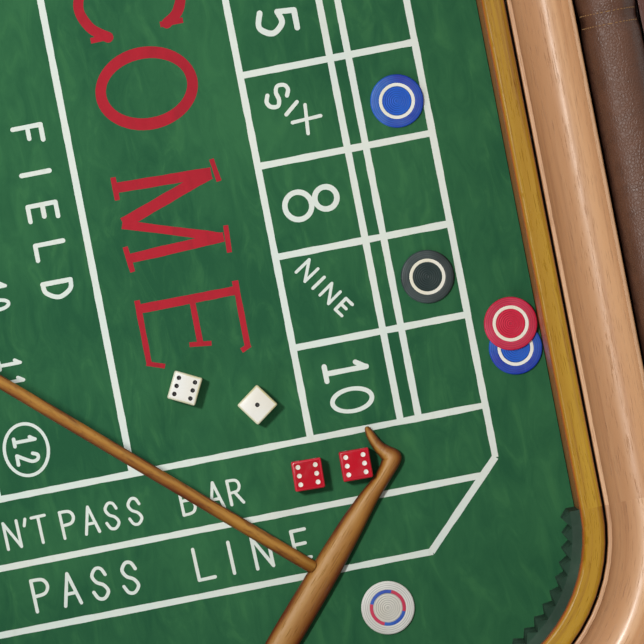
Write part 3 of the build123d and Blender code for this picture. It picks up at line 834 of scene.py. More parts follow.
def come(ink, shift):
    """The serif letters of COME, thick in the stems and thin in the arms."""
    spot = shifted(shift)
    head, foot = -161.0, -236.0
    middle = (head + foot) / 2
    bowl = (
        (-318, head - 14), (-326, head - 4), (-343, head), (-362, head - 12), (-370, middle),
        (-362, foot + 12), (-343, foot), (-326, foot + 5), (-316, foot + 17),
    )
    ink.stroke([spot(*point) for point in bowl], 7.6, curved=True)
    serifs_of_c = (
        (-318, head - 2, -318, head - 19, 4.2),
        (-316, foot + 4, -316, foot + 20, 4.2),
    )
    bars_of_m = (
        (-207.0, foot + 2, -205.0, head - 3, 7.6),
        (-204.5, head - 4, -180.5, foot + 2, 8.4),
        (-180.0, foot + 1, -157.0, head - 4, 6.4),
        (-157.0, head - 3, -154.5, foot + 2, 7.2),
        (-215.0, foot + 1, -198.0, foot + 1, 4.0),
        (-214.5, head - 1, -197.5, head + 1.5, 3.6),
        (-163.5, foot, -144.5, foot + 2, 3.8),
        (-165.0, head, -145.0, head - 1, 3.8),
    )
    bars_of_e = (
        (-117.0, foot + 1, -117.0, head - 1, 6.6),
        (-123.5, foot + 1, -76.0, foot + 1, 4.2),
        (-124.0, head - 1, -75.0, head - 1, 4.4),
        (-116.0, middle + 3, -84.0, middle + 3, 4.4),
        (-77.0, foot - 1, -72.5, foot + 12, 3.6),
        (-76.0, head + 1, -73.0, head - 6, 3.6),
        (-84.5, middle - 5, -82.5, middle + 11, 3.6),
    )

    def bars(rows):
        for x0, y0, x1, y1, width in rows:
            ink.stroke([spot(x0, y0), spot(x1, y1)], width, round_ends=False, wobble=0.06)

    bars(serifs_of_c)
    ink.loop(spot(-274.2, middle), 26.0, 33.8, 7.8, thin=-0.12)
    bars(bars_of_m)
    bars(bars_of_e)


# The words at the table's end: each letter with its place across the table.
DONT_PASS_BAR = (
    ("D", -394), ("O", -375), ("N", -357), ("'", -346), ("T", -336), ("P", -315), ("A", -299), ("S", -283),
    ("S", -266.0), ("B", -226.4), ("A", -206.2), ("R", -191.2),
)
PASS_LINE = (
    ("P", -344), ("A", -323), ("S", -301), ("S", -278.6), ("L", -223.6), ("I", -203.3), ("N", -180.2),
    ("E", -151.4),
)


def end_words(ink, hand):
    """DON'T PASS BAR and PASS LINE, which read along the end of the table."""
    heading = 90 * hand + 1.5
    for text, along, tall, width in ((DONT_PASS_BAR, 27.2, 21.5, 2.2), (PASS_LINE, 74.0, 25.5, 2.5)):
        for glyph, across in text:
            reading = across if hand > 0 else text[0][1] + text[-1][1] - across
            height = tall * (0.92 if glyph in "RE" else 1.0)
            centre = layout_point(along, reading, hand)
            letter(ink, glyph, centre, height * 0.56, height, width, heading)


def side_words(ink, shift):
    """The words that read from the player's side: the field and the two pass bands."""
    spot = shifted(shift)
    word(ink, "PASS LINE", spot(-186, -433.5), 25, 3.0, pitch=0.98)
    word(ink, "DON'T PASS BAR", spot(-200, -386), 21, 2.7, pitch=0.9)
    word(ink, "FIELD", spot(-200, -290), 24, 3.4, pitch=1.2)
    for i, number in enumerate(("2", "3", "4", "9", "10", "11", "12")):
        centre = spot(-374 + 57 * i, -335)
        word(ink, number, centre, 18, 2.6, pitch=0.72, wide=0.52)
        if number in ("2", "12"):
            ink.loop(centre, 19.0, 16.0, 2.4)


def dice_picture(white, black, centre, count):
    """A printed pair of alike dice, for a box of the centre bets."""
    half, reach, pip = 11, 6, 2
    square = ((-half, -half), (half, -half), (half, half), (-half, half))
    for side in (-1, 1):
        middle = centre + Vector((side * 13.5, 0))
        white.area([middle + Vector(corner) for corner in square])
        for x, y in PIP_PATTERNS[count]:
            spot = middle + Vector((x * reach, -y * reach))
            dot = [(pip * cos(tau * k / 16), pip * sin(tau * k / 16)) for k in range(16)]
            black.area([spot + Vector(point) for point in dot])


def centre_bets(white, red, black):
    """The stickman's bets in the middle of the layout."""
    low, high, half = -212.0, 84.0, 172.0

    def rule(a, b):
        white.stroke([Vector(a), Vector(b)], LINE_WIDTH * 0.8, round_ends=False, wobble=0.04)

    rows = (low, low + 56, low + 136, low + 216, low + 256, high)
    for y in rows:
        rule((-half - 2, y), (half + 2, y))
    for x in (-half, half):
        rule((x, low), (x, high))
    rule((0, rows[1]), (0, rows[3]))
    word(red, "SEVEN", Vector((0, (rows[0] + rows[1]) / 2)), 26, 4.2, pitch=1.15)
    word(red, "ANY", Vector((-78, (rows[4] + rows[5]) / 2)), 20, 3.2, pitch=0.95)
    word(red, "CRAPS", Vector((48, (rows[4] + rows[5]) / 2)), 20, 3.2, pitch=0.95)
    word(white, "HARD", Vector((0, (rows[3] + rows[4]) / 2)), 16, 2.4, pitch=1.1)
    for i, count in enumerate((3, 5, 4, 2)):
        across = (rows[1 + i // 2] + rows[2 + i // 2]) / 2
        dice_picture(white, black, Vector((half * (i % 2 - 0.5), across)), count)


def print_layout():
    """Everything inked on the felt: the lines are mirrored on the left half, and the words are moved there."""
    white, red, black = Ink(), Ink(), Ink()
    left_half = -2 * ORIGIN_X / MM - BOX_START
    for hand in (1, -1):
        half_lines(white, hand)
        end_words(white, hand)
    for shift in (0.0, left_half):
        point_boxes(white, shift)
        side_words(white, shift)
        come(red, shift)
    centre_bets(white, red, black)
    for colour, ink in (("white", white), ("red", red), ("black", black)):
        piece(f"{colour}_markings", ink.bm, [f"{colour}_ink"], "table", "felt", smooth=0)


# ---- Bumper, arm rests and rail trim ----
BUMPER_DEPTH = 12.0
PYRAMID_DEPTH = 5.0
PYRAMID = 12.0
BUMPER_ROWS = 22
CORNER_STEPS = 28


def bumper(bm, frames):
    """A strip of pyramid rubber: frames are spaced half a pyramid apart."""
    low = FELT_TOP / MM
    high = low + BUMPER_ROWS * PYRAMID / 2
    columns = []
    for i, place in enumerate(frames):
        front = []
        for j in range(BUMPER_ROWS + 1):
            peak = i % 2 == 1 and j % 2 == 1
            out = -BUMPER_DEPTH if peak else PYRAMID_DEPTH - BUMPER_DEPTH
            front.append(at(place, out, low + j * PYRAMID / 2))
        back = [at(place, 0, high), at(place, 0, low)]
        columns.append([bm.verts.new(point) for point in front + back])
    for i, (a, b) in enumerate(zip(columns, columns[1:])):
        ring_faces(bm, a, b, split=lambda j, i=i: (i + j) % 2 == 0)
    bm.faces.new(columns[0])
    bm.faces.new(columns[-1])


def build_bumpers():
    """Pyramid rubber on every wall but the boxman's."""

    def steps(run):
        return 2 * round(2 * run / (PYRAMID * MM))

    corners = [corner_frames(quadrant, CORNER_STEPS) for quadrant in range(4)]
    lengths = {
        "player": ("player_side", [side_frames("player", steps(LONG_RUN))]),
        "both_ends": ("ends", [side_frames(side, steps(END_RUN)) for side in ("left", "right")]),
        "in_corners": ("corners", corners),
    }
    for label, (node, runs) in lengths.items():
        bm = bmesh.new()
        for frames in runs:
            bumper(bm, frames)
        piece(f"bumper_{label}", bm, ["bumper"], "table", "bumper_rubber", [f"bumper_{node}"], smooth=0)


PAD_INNER = 64.4
PAD_OUTER = 109.6
PAD_FOOT = 858.2
PAD_SHOULDER = 868.0
PAD_CROWN = 913.4
SEAM_PITCH = 341.5
SEAM_DEPTH = 2.2
SEAM_HALF_WIDTH = 7.0
PUCKER_REACH = 26.0
PAD_ROUND = 0.72
PAD_STEPS = 26
STITCH_OFFSET = 4.5
THREAD_RADIUS = 0.4


def pad_crown(share, draw, sink):
    """The arm rest's rounded top: (out, up) at a share of the way over, drawn in and sunk by so much."""
    angle = pi * (1 - share)
    swing = abs(cos(angle)) ** PAD_ROUND * (1 if cos(angle) > 0 else -1)
    lift = abs(sin(angle)) ** PAD_ROUND
    out = (PAD_INNER + PAD_OUTER) / 2 + swing * ((PAD_OUTER - PAD_INNER) / 2 - draw)
    return out, PAD_SHOULDER + lift * (PAD_CROWN - PAD_SHOULDER - sink)


def pad_ring(place, along, seam_distance):
    """The arm rest's section at one place: a stuffed crown that draws in at a seam and puckers beside it."""
    drawn = SEAM_DEPTH * exp(-((seam_distance / SEAM_HALF_WIDTH) ** 2))
    pucker = exp(-seam_distance / PUCKER_REACH)
    ring = [at(place, PAD_OUTER - drawn * 0.4, PAD_FOOT), at(place, PAD_INNER + drawn * 0.4, PAD_FOOT)]
    for i in range(PAD_STEPS + 1):
        fold = noise.noise(Vector((along * 0.05, i * 0.55, 3.1))) * 0.9 * pucker
        slack = noise.noise(Vector((along * 0.011, i * 0.16, 9.7))) * 0.5
        shrink = drawn + fold + abs(slack)
        ring.append(at(place, *pad_crown(i / PAD_STEPS, 0.3 + shrink * 0.8, shrink)))
    return ring


def seam_places(length):
    """Where the cross seams lie along a run, ends included."""
    parts = max(1, round(length / SEAM_PITCH))
    return [length * i / parts for i in range(parts + 1)]


def pad_run(bm, frames, length):
    """One length of arm rest, with its stitches."""
    seams = seam_places(length)
    rings = []
    last = len(frames) - 1
    start_x = frames[0][0].x / MM
    for i, place in enumerate(frames):
        along = length * i / last
        distance = min(abs(along - seam) for seam in seams)
        rings.append(pad_ring(place, along + start_x, distance))
    loft(bm, rings)
    for seam in seams[1:-1]:
        stitch_row(bm, frames, length, seam)


def stitch_row(bm, frames, length, seam):
    """Two rows of waxed thread, one each side of a cross seam."""
    for side in (-STITCH_OFFSET, STITCH_OFFSET):
        share = (seam + side) / length * (len(frames) - 1)
        low = int(share)
        base = frames[low][0].lerp(frames[low + 1][0], share - low)
        place = (base, frames[low][1])
        for k in range(4, 23):
            ends = [at(place, *pad_crown((k + shift) / PAD_STEPS, 1.35, 1.55)) for shift in (-0.3, 0.3)]
            thread(bm, *ends)


def circle(centre, side, other, radius, count):
    """Points round a centre, in the plane of two directions."""
    turns = [tau * i / count for i in range(count)]
    return [centre + (side * cos(turn) + other * sin(turn)) * radius for turn in turns]


def thread(bm, a, b):
    """One stitch: a short six-sided bar with pinched ends."""
    along = (b - a).normalized()
    side = along.orthogonal().normalized()
    other = along.cross(side)
    bar = ((0.0, 0.45), (0.2, 1.0), (0.8, 1.0), (1.0, 0.45))
    rings = [circle(a.lerp(b, share), side, other, THREAD_RADIUS * MM * swell, 6) for share, swell in bar]
    loft(bm, rings, finish=1)


def arm_rest(name, node, runs):
    bm = bmesh.new()
    for frames, length in runs:
        pad_run(bm, frames, length)
    made = piece(name, bm, ["hide", "thread"], "table", "arm_leather", [node])


def build_arm_rests():
    long_length = 2 * LONG_RUN / MM
    end_length = 2 * END_RUN / MM
    arc_length = pi / 2 * (CORNER_RADIUS / MM + (PAD_INNER + PAD_OUTER) / 2)
    for side in ("player", "boxman"):
        arm_rest(f"arm_rest_{side}", f"arm_pad_{side}_side", [(side_frames(side, 340), long_length)])
    ends = [(side_frames(side, 90), end_length) for side in ("left", "right")]
    arm_rest("arm_rest_at_ends", "arm_pad_ends", ends)
    corners = [(corner_frames(quadrant, 72), arc_length) for quadrant in range(4)]
    arm_rest("arm_rest_in_corners", "arm_pad_corners", corners)


# ---- Playing pieces ----
def node_middle(node):
    low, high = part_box(node)
    return (low + high) / 2


# What each band of a chip is finished with, in the order of its materials. EDGE is the spotted edge. GROOVE and
# the darker centre and rim bands carry painted shade.
RIM, RING_BAND, GROOVE, CENTRE, BLUE, RED, CENTRE_SHADED, RIM_SHADED = range(8)
EDGE = -1
RIDGES = 12
RIDGE_PITCH = 0.76
CHIP_SPOTS = 8
CHIP_SEGMENTS = 96


def chip_face():
    """Half of a chip's section, from its middle to its edge: (radius, height, finish), in millimetres."""
    centre = [(0.6, 1.16, CENTRE)]
    for i in range(1, RIDGES + 1):
        height, finish = (1.36, CENTRE_SHADED) if i % 2 else (1.12, CENTRE)
        centre.append((0.6 + i * RIDGE_PITCH, height, finish))
    centre += [(10.1, 1.34, CENTRE), (10.5, 1.2, GROOVE)]
    ring = [(10.75, 1.2, GROOVE), (10.9, 1.42, RING_BAND), (12.9, 1.46, RING_BAND), (13.15, 1.42, RING_BAND)]
    ring += [(13.35, 1.24, GROOVE), (13.6, 1.44, RIM), (14.5, 1.60, RIM)]
    rim = [(15.0, 1.50, RIM_SHADED), (15.9, 1.62, RIM), (16.5, 1.52, RIM_SHADED), (17.4, 1.62, RIM)]
    rim += [(17.9, 1.54, RIM_SHADED), (18.7, 1.46, RIM), (19.4, 0.95, RIM), (CHIP_RADIUS, 0.4, RIM)]
    return centre + ring + rim


def chip(name, node, colour, turn=0.0, two_tone=False):
    """A pressed chip with an inlaid ring, a grooved middle and cream spots on its edge."""
    middle = node_middle(node)
    half = chip_face()
    profile = [(radius, -height) for radius, height, _ in half]
    profile += [(radius, height) for radius, height, _ in reversed(half)]
    faces = [finish for _, _, finish in half[1:]]
    bands = faces + [EDGE] + faces[::-1]

    def band_finish(k, i):
        if bands[k] == EDGE:
            return RING_BAND if (i / CHIP_SEGMENTS * CHIP_SPOTS + turn) % 1.0 < 0.4 else RIM
        if bands[k] == RING_BAND and two_tone:
            return BLUE if (2 * i / CHIP_SEGMENTS - RING_TURN) % 1.0 < 0.5 else RED
        return bands[k]

    def place(x, y, z):
        return middle + Vector((x, y, z)) * MM

    bm = bmesh.new()
    lathe(bm, profile, place, CHIP_SEGMENTS, band_finish)
    # The groove finish and the two darker low finishes are painted shade.
    names = [f"{colour}_rim", "chip_cream", f"{colour}_groove", f"{colour}_centre", "blue_rim", "red_rim"]
    names += [f"{colour}_low", f"{colour}_rim_low"]
    piece(name, bm, names, f"{node}_body", f"{colour}_chip", [node], smooth=24)


def build_chips():
    """The chips in play, each turned its own way."""
    chip("blue_chip_on_six", "chip_blue_six", "blue", 0.1)
    chip("black_chip_on_nine", "chip_black_nine", "black", 0.4)
    chip("blue_chip_by_wall", "chip_blue_wall", "blue", 0.7)
    chip("red_chip_by_wall", "chip_red_wall", "red", 0.2)
    chip("white_chip_by_line", "chip_white_line", "white", 0.5, two_tone=True)


DIE_EASE = 1.3
PIP_RADIUS = 0.08
PIP_SPACING = 0.29
PIP_DEPTH = 0.5


def rounded_cube(bm, size):
    """A cube with eased edges, which have a finish of their own that carries painted shading."""
    bmesh.ops.create_cube(bm, size=size)
    edges = list(bm.edges)
    bmesh.ops.bevel(
        bm, geom=edges, offset=DIE_EASE * MM, segments=5, profile=0.5, affect="EDGES", clamp_overlap=True
    )
    bm.normal_update()
    for face in bm.faces:
        on_edge = max(abs(part) for part in face.normal) < 0.995
        face.material_index = 2 if on_edge else 0


def die_tilts(top):
    """How the top of a die is tipped to each of its faces. Opposite faces add up to seven."""
    front, right = (2, 3) if top in (1, 6) else (1, 2)
    return {
        top: Matrix.Identity(3),
        7 - top: Matrix.Rotation(pi, 3, "X"),
        front: Matrix.Rotation(pi / 2, 3, "X"),
        7 - front: Matrix.Rotation(-pi / 2, 3, "X"),
        right: Matrix.Rotation(pi / 2, 3, "Y"),
        7 - right: Matrix.Rotation(-pi / 2, 3, "Y"),
    }


def pip_balls(name, size, top, finishes):
    """The small spheres that dish the pips of a die."""
    dish = PIP_RADIUS * size * MM
    depth = PIP_DEPTH * MM
    ball = (dish * dish + depth * depth) / (2 * depth)
    step = PIP_SPACING * size * MM
    bm = bmesh.new()
    for face, tilt in die_tilts(top).items():
        for i, j in PIP_PATTERNS[face]:
            spot = Vector((i * step, j * step, size / 2 * MM + ball - depth))
            place = Matrix.Translation(tilt @ spot)
            bmesh.ops.create_icosphere(bm, subdivisions=4, radius=ball, matrix=place)
    for face in bm.faces:
        face.material_index = 1
    mesh = bpy.data.meshes.new(name)
    bm.to_mesh(mesh)
    bm.free()
    for finish in finishes:
        mesh.materials.append(FINISH[finish])
    made = bpy.data.objects.new(name, mesh)
    bpy.context.scene.collection.objects.link(made)
    return made


def keep_shape(made):
    """Keeps what a piece's modifiers have made of its mesh."""
    bpy.context.view_layer.update()
    shaped = bpy.data.meshes.new_from_object(made.evaluated_get(bpy.context.evaluated_depsgraph_get()))
    made.modifiers.clear()
    made.data = shaped


def die(name, node, size, top, turn, finish, pip_finish, slot):
    """A die with dished pips, cut into it with small spheres."""
    body = bmesh.new()
    rounded_cube(body, size * MM)
    made = piece(name, body, [finish, pip_finish, f"{finish}_edge"], f"{node}_body", slot, [node], smooth=40)
    balls = pip_balls(f"{name}_dimples", size, top, (finish, pip_finish))
    cut = made.modifiers.new("pips", "BOOLEAN")
    cut.operation = "DIFFERENCE"
    cut.solver = "EXACT"
    cut.object = balls
    keep_shape(made)
    bpy.data.objects.remove(balls)
    made.data.transform(Matrix.Translation(node_middle(node)) @ Matrix.Rotation(radians(turn), 4, "Z"))
    made.data.shade_smooth()
    made.data.set_sharp_from_angle(angle=radians(28))


def build_dice():
    """Two ivory dice and two larger red ones."""
    white = ("ivory", "pip_black", "white_die")
    red = ("ruby", "pip_white", "red_die")
    die("white_die_showing_six", "die_white_six", 21, 6, -26.8, *white)
    die("white_die_showing_one", "die_white_one", 21, 1, -54.5, *white)
    die("red_die_left", "die_red_left", 22, 6, -1.7, *red)
    die("red_die_right", "die_red_right", 22, 6, -1.0, *red)


# ---- the dice stick, in its own frame: its bend at the origin and its head along +X ----
STICK_BEND = (23.2, -71.4)
STICK_HEADING = -42.0
HEAD_SPINE = (
    (-7.0, -29.0, 1.5, 4.5),
    (-5.4, -26.6, 2.6, 6.5),
    (-3.4, -23.4, 3.2, 8.0),
    (-0.4, -17.8, 3.9, 9.6),
    (1.4, -12.4, 4.3, 11.2),
    (1.9, -6.6, 5.6, 12.2),
    (2.4, -1.9, 7.6, 12.8),
    (3.2, -0.6, 8.2, 12.9),
    (9.5, 0.2, 6.3, 12.9),
    (16.0, 0.4, 5.8, 12.8),
    (22.0, 0.5, 5.7, 12.8),
    (30.0, -0.3, 6.3, 12.9),
    (38.0, -0.9, 7.1, 12.9),
    (58.0, -0.9, 8.9, 13.0),
    (78.0, -0.6, 9.8, 13.0),
    (97.0, -0.3, 10.6, 13.0),
    (130.0, 0.0, 11.1, 13.0),
    (171.0, 0.0, 11.3, 12.8),
    (175.4, 0.0, 9.0, 11.4),
)
HEAD_ROUND = 0.8
STICK_COUNT = 24
HANDLE_FOOT = (101.0, -8.4, 9.2)
HANDLE_RISE = 16.1
HANDLE_LENGTH = 689.0
HANDLE_TIP_RADIUS = 4.9
HANDLE_GRIP_RADIUS = 4.3


def stick_frame():
    """Places a point of the stick's own frame in the scene."""
    corner = layout_point(*STICK_BEND)
    turn = Matrix.Rotation(radians(STICK_HEADING), 3, "Z")
    base = Vector((corner.x, corner.y, FELT_TOP / MM + 0.1))

    def place(x, y, z):
        return (base + turn @ Vector((x, y, z))) * MM

    return place


def turn_of(spine, i):
    """The way the spine runs at its i-th point, halfway between the two lengths that meet there."""
    here = spine[i]
    legs = [here - spine[i - 1]] if i else []
    legs += [spine[i + 1] - here] if i < len(spine) - 1 else []
    return sum((leg.normalized() for leg in legs), Vector((0, 0))).normalized()


def marked_loft(rings):
    """A loft that records how far across the stick each point lies, from -1 to 1, for its finish."""
    bm = bmesh.new()
    across = bm.verts.layers.float.new("across")
    for row in loft(bm, rings):
        for k, corner in enumerate(row):
            corner[across] = cos(tau * k / STICK_COUNT)
    return bm


def stick_head():
    """The hooked head: a whittled bar with a soft ridge, flat on the felt."""
    place = stick_frame()
    rings = []
    spine = [Vector(station[:2]) for station in HEAD_SPINE]
    for i, (x, y, half, tall) in enumerate(HEAD_SPINE):
        along = turn_of(spine, i)
        side = Vector((-along.y, along.x))
        ring = []
        for angle in (tau * k / STICK_COUNT for k in range(STICK_COUNT)):
            swing = abs(cos(angle)) ** HEAD_ROUND * (1 if cos(angle) > 0 else -1)
            lift = abs(sin(angle)) ** HEAD_ROUND * (1 if sin(angle) > 0 else -1)
            spot = Vector((x, y)) + side * (half * swing)
            ring.append(place(spot.x, spot.y, tall / 2 * (1 + lift)))
        rings.append(ring)
    bm = marked_loft(rings)
    made = piece("stick_hooked_head", bm, ["stick"], "dice_stick", "stick_wood", ["stick_head"], smooth=60)
    soften(made, 2)


def soften(made, levels):
    """Rounds a piece off with a subdivision surface and keeps the result."""
    modifier = made.modifiers.new("soften", "SUBSURF")
    modifier.levels = levels
    modifier.render_levels = levels
    keep_shape(made)


def stick_handle():
    """The slim handle, a little thicker where it is let into the head."""
    place = stick_frame()
    foot = Vector(HANDLE_FOOT)
    rise = radians(HANDLE_RISE)
    heading = Vector((0, -cos(rise), sin(rise)))
    side = Vector((1, 0, 0))
    other = heading.cross(side)
    steps = 44
    stations = [(0.0, 0.62), (0.5, 0.88), (1.6, 1.0)]
    stations += [(1.6 + (HANDLE_LENGTH - 3.6) * i / steps, 1.0) for i in range(1, steps)]
    stations += [(HANDLE_LENGTH - 2.0, 1.0), (HANDLE_LENGTH - 0.6, 0.8), (HANDLE_LENGTH, 0.4)]
    rings = []
    for distance, swell in stations:
        share = distance / HANDLE_LENGTH
        radius = (HANDLE_TIP_RADIUS + (HANDLE_GRIP_RADIUS - HANDLE_TIP_RADIUS) * share) * swell
        radius *= 1 + 0.02 * noise.noise(Vector((distance * 0.02, 0, 5)))
        ring = circle(foot + heading * distance, side, other, radius, STICK_COUNT)
        rings.append([place(*point) for point in ring])
    bm = marked_loft(rings)
    piece("stick_slim_handle", bm, ["handle"], "dice_stick", "stick_wood", ["stick_handle"], smooth=50)


def stick_finish(name, turn, edge_shade_start):
    """Waxed stick wood, with a painted highlight of pale gold along its ridge and painted shade of red-brown
    towards its two edges.
    """
    material, b, shader = start(name)
    turned_back = {"Vector": b.place(), "Rotation": (0, 0, radians(-turn))}
    aligned = b.node("ShaderNodeMapping", turned_back, vector_type="POINT").outputs[0]
    deep, mid, pale = STICK_WOOD
    across = b.node("ShaderNodeAttribute", attribute_name="across").outputs["Fac"]
    fibre = use(b, "wood_grain", Run=aligned, Deep=deep, Mid=mid, Pale=pale)
    drift = b.band(b.noise(b.stretch(aligned, (14.0, 60.0, 60.0)), 1.0, 3.0), 0.3, 0.7, -0.2, 0.2)
    ridge = b.plus(across, drift)
    # Painted shade: red-brown towards both edges, where the round stick's sides turn from the light.
    left = b.band(ridge, -edge_shade_start, -0.92, 0.0, 0.9)
    right = b.band(ridge, edge_shade_start * 0.4, 0.92, 0.0, 0.9)
    # Painted highlight: a pale golden band just beside the ridge.
    ridge_highlight = b.times(b.band(ridge, -0.62, -0.34), b.band(ridge, 0.18, -0.12))
    colour = b.mix(b.times(ridge_highlight, 0.45), fibre["Color"], srgb(198, 150, 70))
    colour = b.mix(b.math("MAXIMUM", left, right), colour, srgb(100, 38, 20))
    rough = b.plus(fibre["Rough"], 0.44)
    dress(b, shader, colour, rough, b.bump(fibre["Height"], 0.00025), {"Specular IOR Level": 0.35})
    return material


BANK_COLOURS = ("white", "red", "green", "black", "violet", "blue", "white")
BANK_COUNTS = (31, 28, 25, 31, 28, 25, 31)
BANK_PITCH = 43.0
EDGE_SEGMENTS = 32
EDGE_SPOTS = 6
EDGE_PROFILE = (
    (13.2, -1.35), (13.9, -1.5), (18.9, -1.6), (19.4, -1.15), (19.4, 1.15), (18.9, 1.6), (13.9, 1.5),
    (13.2, 1.35),
)


def bank_rows():
    """The bank's chips on edge, one row of one colour in each trough."""
    low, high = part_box("bank_chips")
    tray_low, tray_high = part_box("bank_tray")
    middle_z = low.z / MM + CHIP_RADIUS
    middle_x = (tray_low.x + tray_high.x) / 2 / MM
    for row, (colour, count) in enumerate(zip(BANK_COLOURS, BANK_COUNTS)):
        bm = bmesh.new()
        x = middle_x + (row - 3) * BANK_PITCH
        for k in range(count):
            edge_chip(bm, x, high.y / MM - (k + 0.5) * CHIP_THICK, middle_z, random.random())
        names = [f"{colour}_rim", "chip_cream" if colour != "white" else "blue_rim", f"{colour}_centre"]
        name = f"bank_row_{row + 1}_{colour}"
        replaced = ["bank_chips"] if row == 0 else []
        piece(name, bm, names, "bank_tray_body", "bank_chips", replaced, smooth=30)


def edge_chip(bm, x, y, z, turn):
    """One chip standing on edge, its axis along Y, with spots round its edge and a plain middle."""

    def band_finish(k, i):
        spot = (i / EDGE_SEGMENTS * EDGE_SPOTS + turn) % 1.0 < 0.42
        if k in (0, 6):
            return 2
        return 1 if spot else 0

    def place(a, b, height):
        return Vector((x + a, y + height, z + b)) * MM

    lathe(bm, EDGE_PROFILE, place, EDGE_SEGMENTS, band_finish)


# ---- Hardware ----
DOME_SEGMENTS = 20
DOME_SHARES = (0.0, 0.3, 0.6, 0.8, 0.95)


def dome(bm, centre, normal, radius, height):
    """A round-headed screw or rivet, standing on a surface."""
    side = normal.orthogonal().normalized()
    other = normal.cross(side)
    rings = []
    for angle in (share * pi / 2 for share in DOME_SHARES):
        level = centre + normal * (height * sin(angle))
        rings.append(circle(level, side, other, radius * cos(angle), DOME_SEGMENTS))
    loft(bm, rings)


DROP_BOX_HALF_WIDTH = 66.0


def build_hardware():
    """Screws on the money slot plate and rivets on the drop box."""
    low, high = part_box("money_slot_plate")
    bm = bmesh.new()
    for x in (low.x + 7 * MM, high.x - 7 * MM):
        dome(bm, Vector((x, (low.y + high.y) / 2, high.z)), Vector((0, 0, 1)), 3.2 * MM, 1.4 * MM)
    piece("slot_plate_screws", bm, ["brass"], "table", "brass", smooth=40)
    low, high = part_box("drop_box_shell")
    bm = bmesh.new()
    for side in (-1, 1):
        for y in (low.y + 12 * MM, (low.y + high.y) / 2, high.y - 14 * MM):
            for z in (low.z + 10 * MM, low.z + 150 * MM):
                spot = Vector((side * DROP_BOX_HALF_WIDTH * MM, y, z))
                dome(bm, spot, Vector((side, 0, 0)), 3.0 * MM, 1.2 * MM)
    piece("drop_box_rivets", bm, ["steel"], "drop_box", "foot_steel", smooth=40)


# ---- Mouldings and turned legs ----
FASCIA_SECTION = (
    (110.2, 836.2), (119.0, 836.2), (120.6, 837.0), (121.4, 838.8), (121.2, 841.0), (119.6, 842.6),
    (118.5, 844.4), (118.2, 847.0), (118.2, 871.5), (118.8, 874.4), (120.4, 876.6), (121.6, 879.2),
    (121.7, 881.8), (120.8, 884.2), (118.8, 885.6), (116.0, 885.9), (110.2, 885.9),
)
SHELF_SECTION = (
    (16.2, 700.2), (103.6, 700.2), (106.0, 701.0), (107.5, 703.2), (107.9, 706.4), (107.9, 720.6),
    (107.2, 722.6), (105.6, 723.8), (102.8, 723.8), (101.2, 722.8), (100.4, 721.0), (100.1, 718.4),
    (98.8, 716.6), (96.6, 715.9), (16.2, 715.9),
)


def sweep(bm, frames, section):
    """A moulding run along the tub: one closed section carried through the places."""
    loft(bm, [[at(place, out, up) for out, up in section] for place in frames])


def moulding(name, node, section, sides=(), quadrants=()):
    bm = bmesh.new()
    for side in sides:
        sweep(bm, side_frames(side, 2), section)
    for quadrant in quadrants:
        sweep(bm, corner_frames(quadrant, CORNER_STEPS), section)
    piece(name, bm, ["mahogany_rail"], "table", "dark_wood", [node])


def build_mouldings():
    moulding("fascia_straight", "rail_fascia_sides", FASCIA_SECTION, sides=SIDES)
    moulding("fascia_in_corners", "rail_fascia_corners", FASCIA_SECTION, quadrants=range(4))
    moulding("shelf_player", "drink_shelf_player_side", SHELF_SECTION, sides=["player"])
    moulding("shelf_at_ends", "drink_shelf_ends", SHELF_SECTION, sides=["left", "right"])
    moulding("shelf_in_corners", "drink_shelf_corners", SHELF_SECTION, quadrants=(2, 3))


FOOT_BORE = 5.05
FOOT_BORE_TOP = 64.0
BUN_PROFILE = (
    (FOOT_BORE, FOOT_BORE_TOP), (FOOT_BORE, 22.2), (22.0, 22.2), (25.5, 24.5), (29.5, 31.0),
    (32.3, 40.0), (33.0, 48.0), (31.8, 57.0), (28.4, 66.0), (24.6, 74.0), (22.0, 81.0), (21.4, 86.0),
    (22.4, 89.0), (25.4, 91.0), (26.6, 94.0), (25.4, 97.0), (22.4, 99.0), (21.6, 102.0), (22.2, 108.0),
    (24.2, 114.0), (27.0, 118.0), (28.0, 121.0),
)
VASE_PROFILE = (
    (28.0, 199.0), (27.0, 202.0), (24.0, 204.5), (21.6, 207.0), (21.6, 210.0), (24.4, 211.5),
    (26.2, 214.5), (26.2, 218.0), (24.4, 221.0), (21.8, 222.5), (21.2, 226.0), (21.6, 234.0),
    (23.2, 248.0), (26.4, 272.0), (30.6, 300.0), (33.4, 324.0), (34.2, 344.0), (33.4, 366.0),
    (31.0, 390.0), (27.4, 414.0), (23.6, 434.0), (20.8, 448.0), (19.8, 455.0), (20.2, 458.0),
    (23.4, 459.5), (25.6, 462.5), (25.6, 466.5), (23.4, 469.5), (20.6, 471.0), (20.4, 474.0),
    (22.6, 478.0), (26.0, 482.0), (28.0, 486.0),
)
LOW_BLOCK = (32.0, 120.0, 200.0)
HIGH_BLOCK = (38.0, 485.0, 620.0)
BLOCK_EASE = 2.4


def square_ring(x, y, half, corner, z):
    """A square with rounded corners, at one height."""
    ring = []
    inner = half - corner
    for k, (along, across) in enumerate(((1, 1), (-1, 1), (-1, -1), (1, -1))):
        for step in range(9):
            angle = pi / 2 * (k + step / 8)
            spot = (x + along * inner + corner * cos(angle), y + across * inner + corner * sin(angle), z)
            ring.append(Vector(spot) * MM)
    return ring


def leg_block(bm, x, y, half, low, high):
    """A square block left on the leg, rounded over where the turning starts."""
    shoulder = ((0.0, 3.4, 11.0), (1.4, 1.2, 8.0), (3.4, 0.3, 5.0), (6.6, 0.0, BLOCK_EASE))
    rings = [(low + rise, half - draw, corner) for rise, draw, corner in shoulder]
    rings += [(high - rise, half - draw, corner) for rise, draw, corner in reversed(shoulder)]
    loft(bm, [square_ring(x, y, size, corner, z) for z, size, corner in rings])


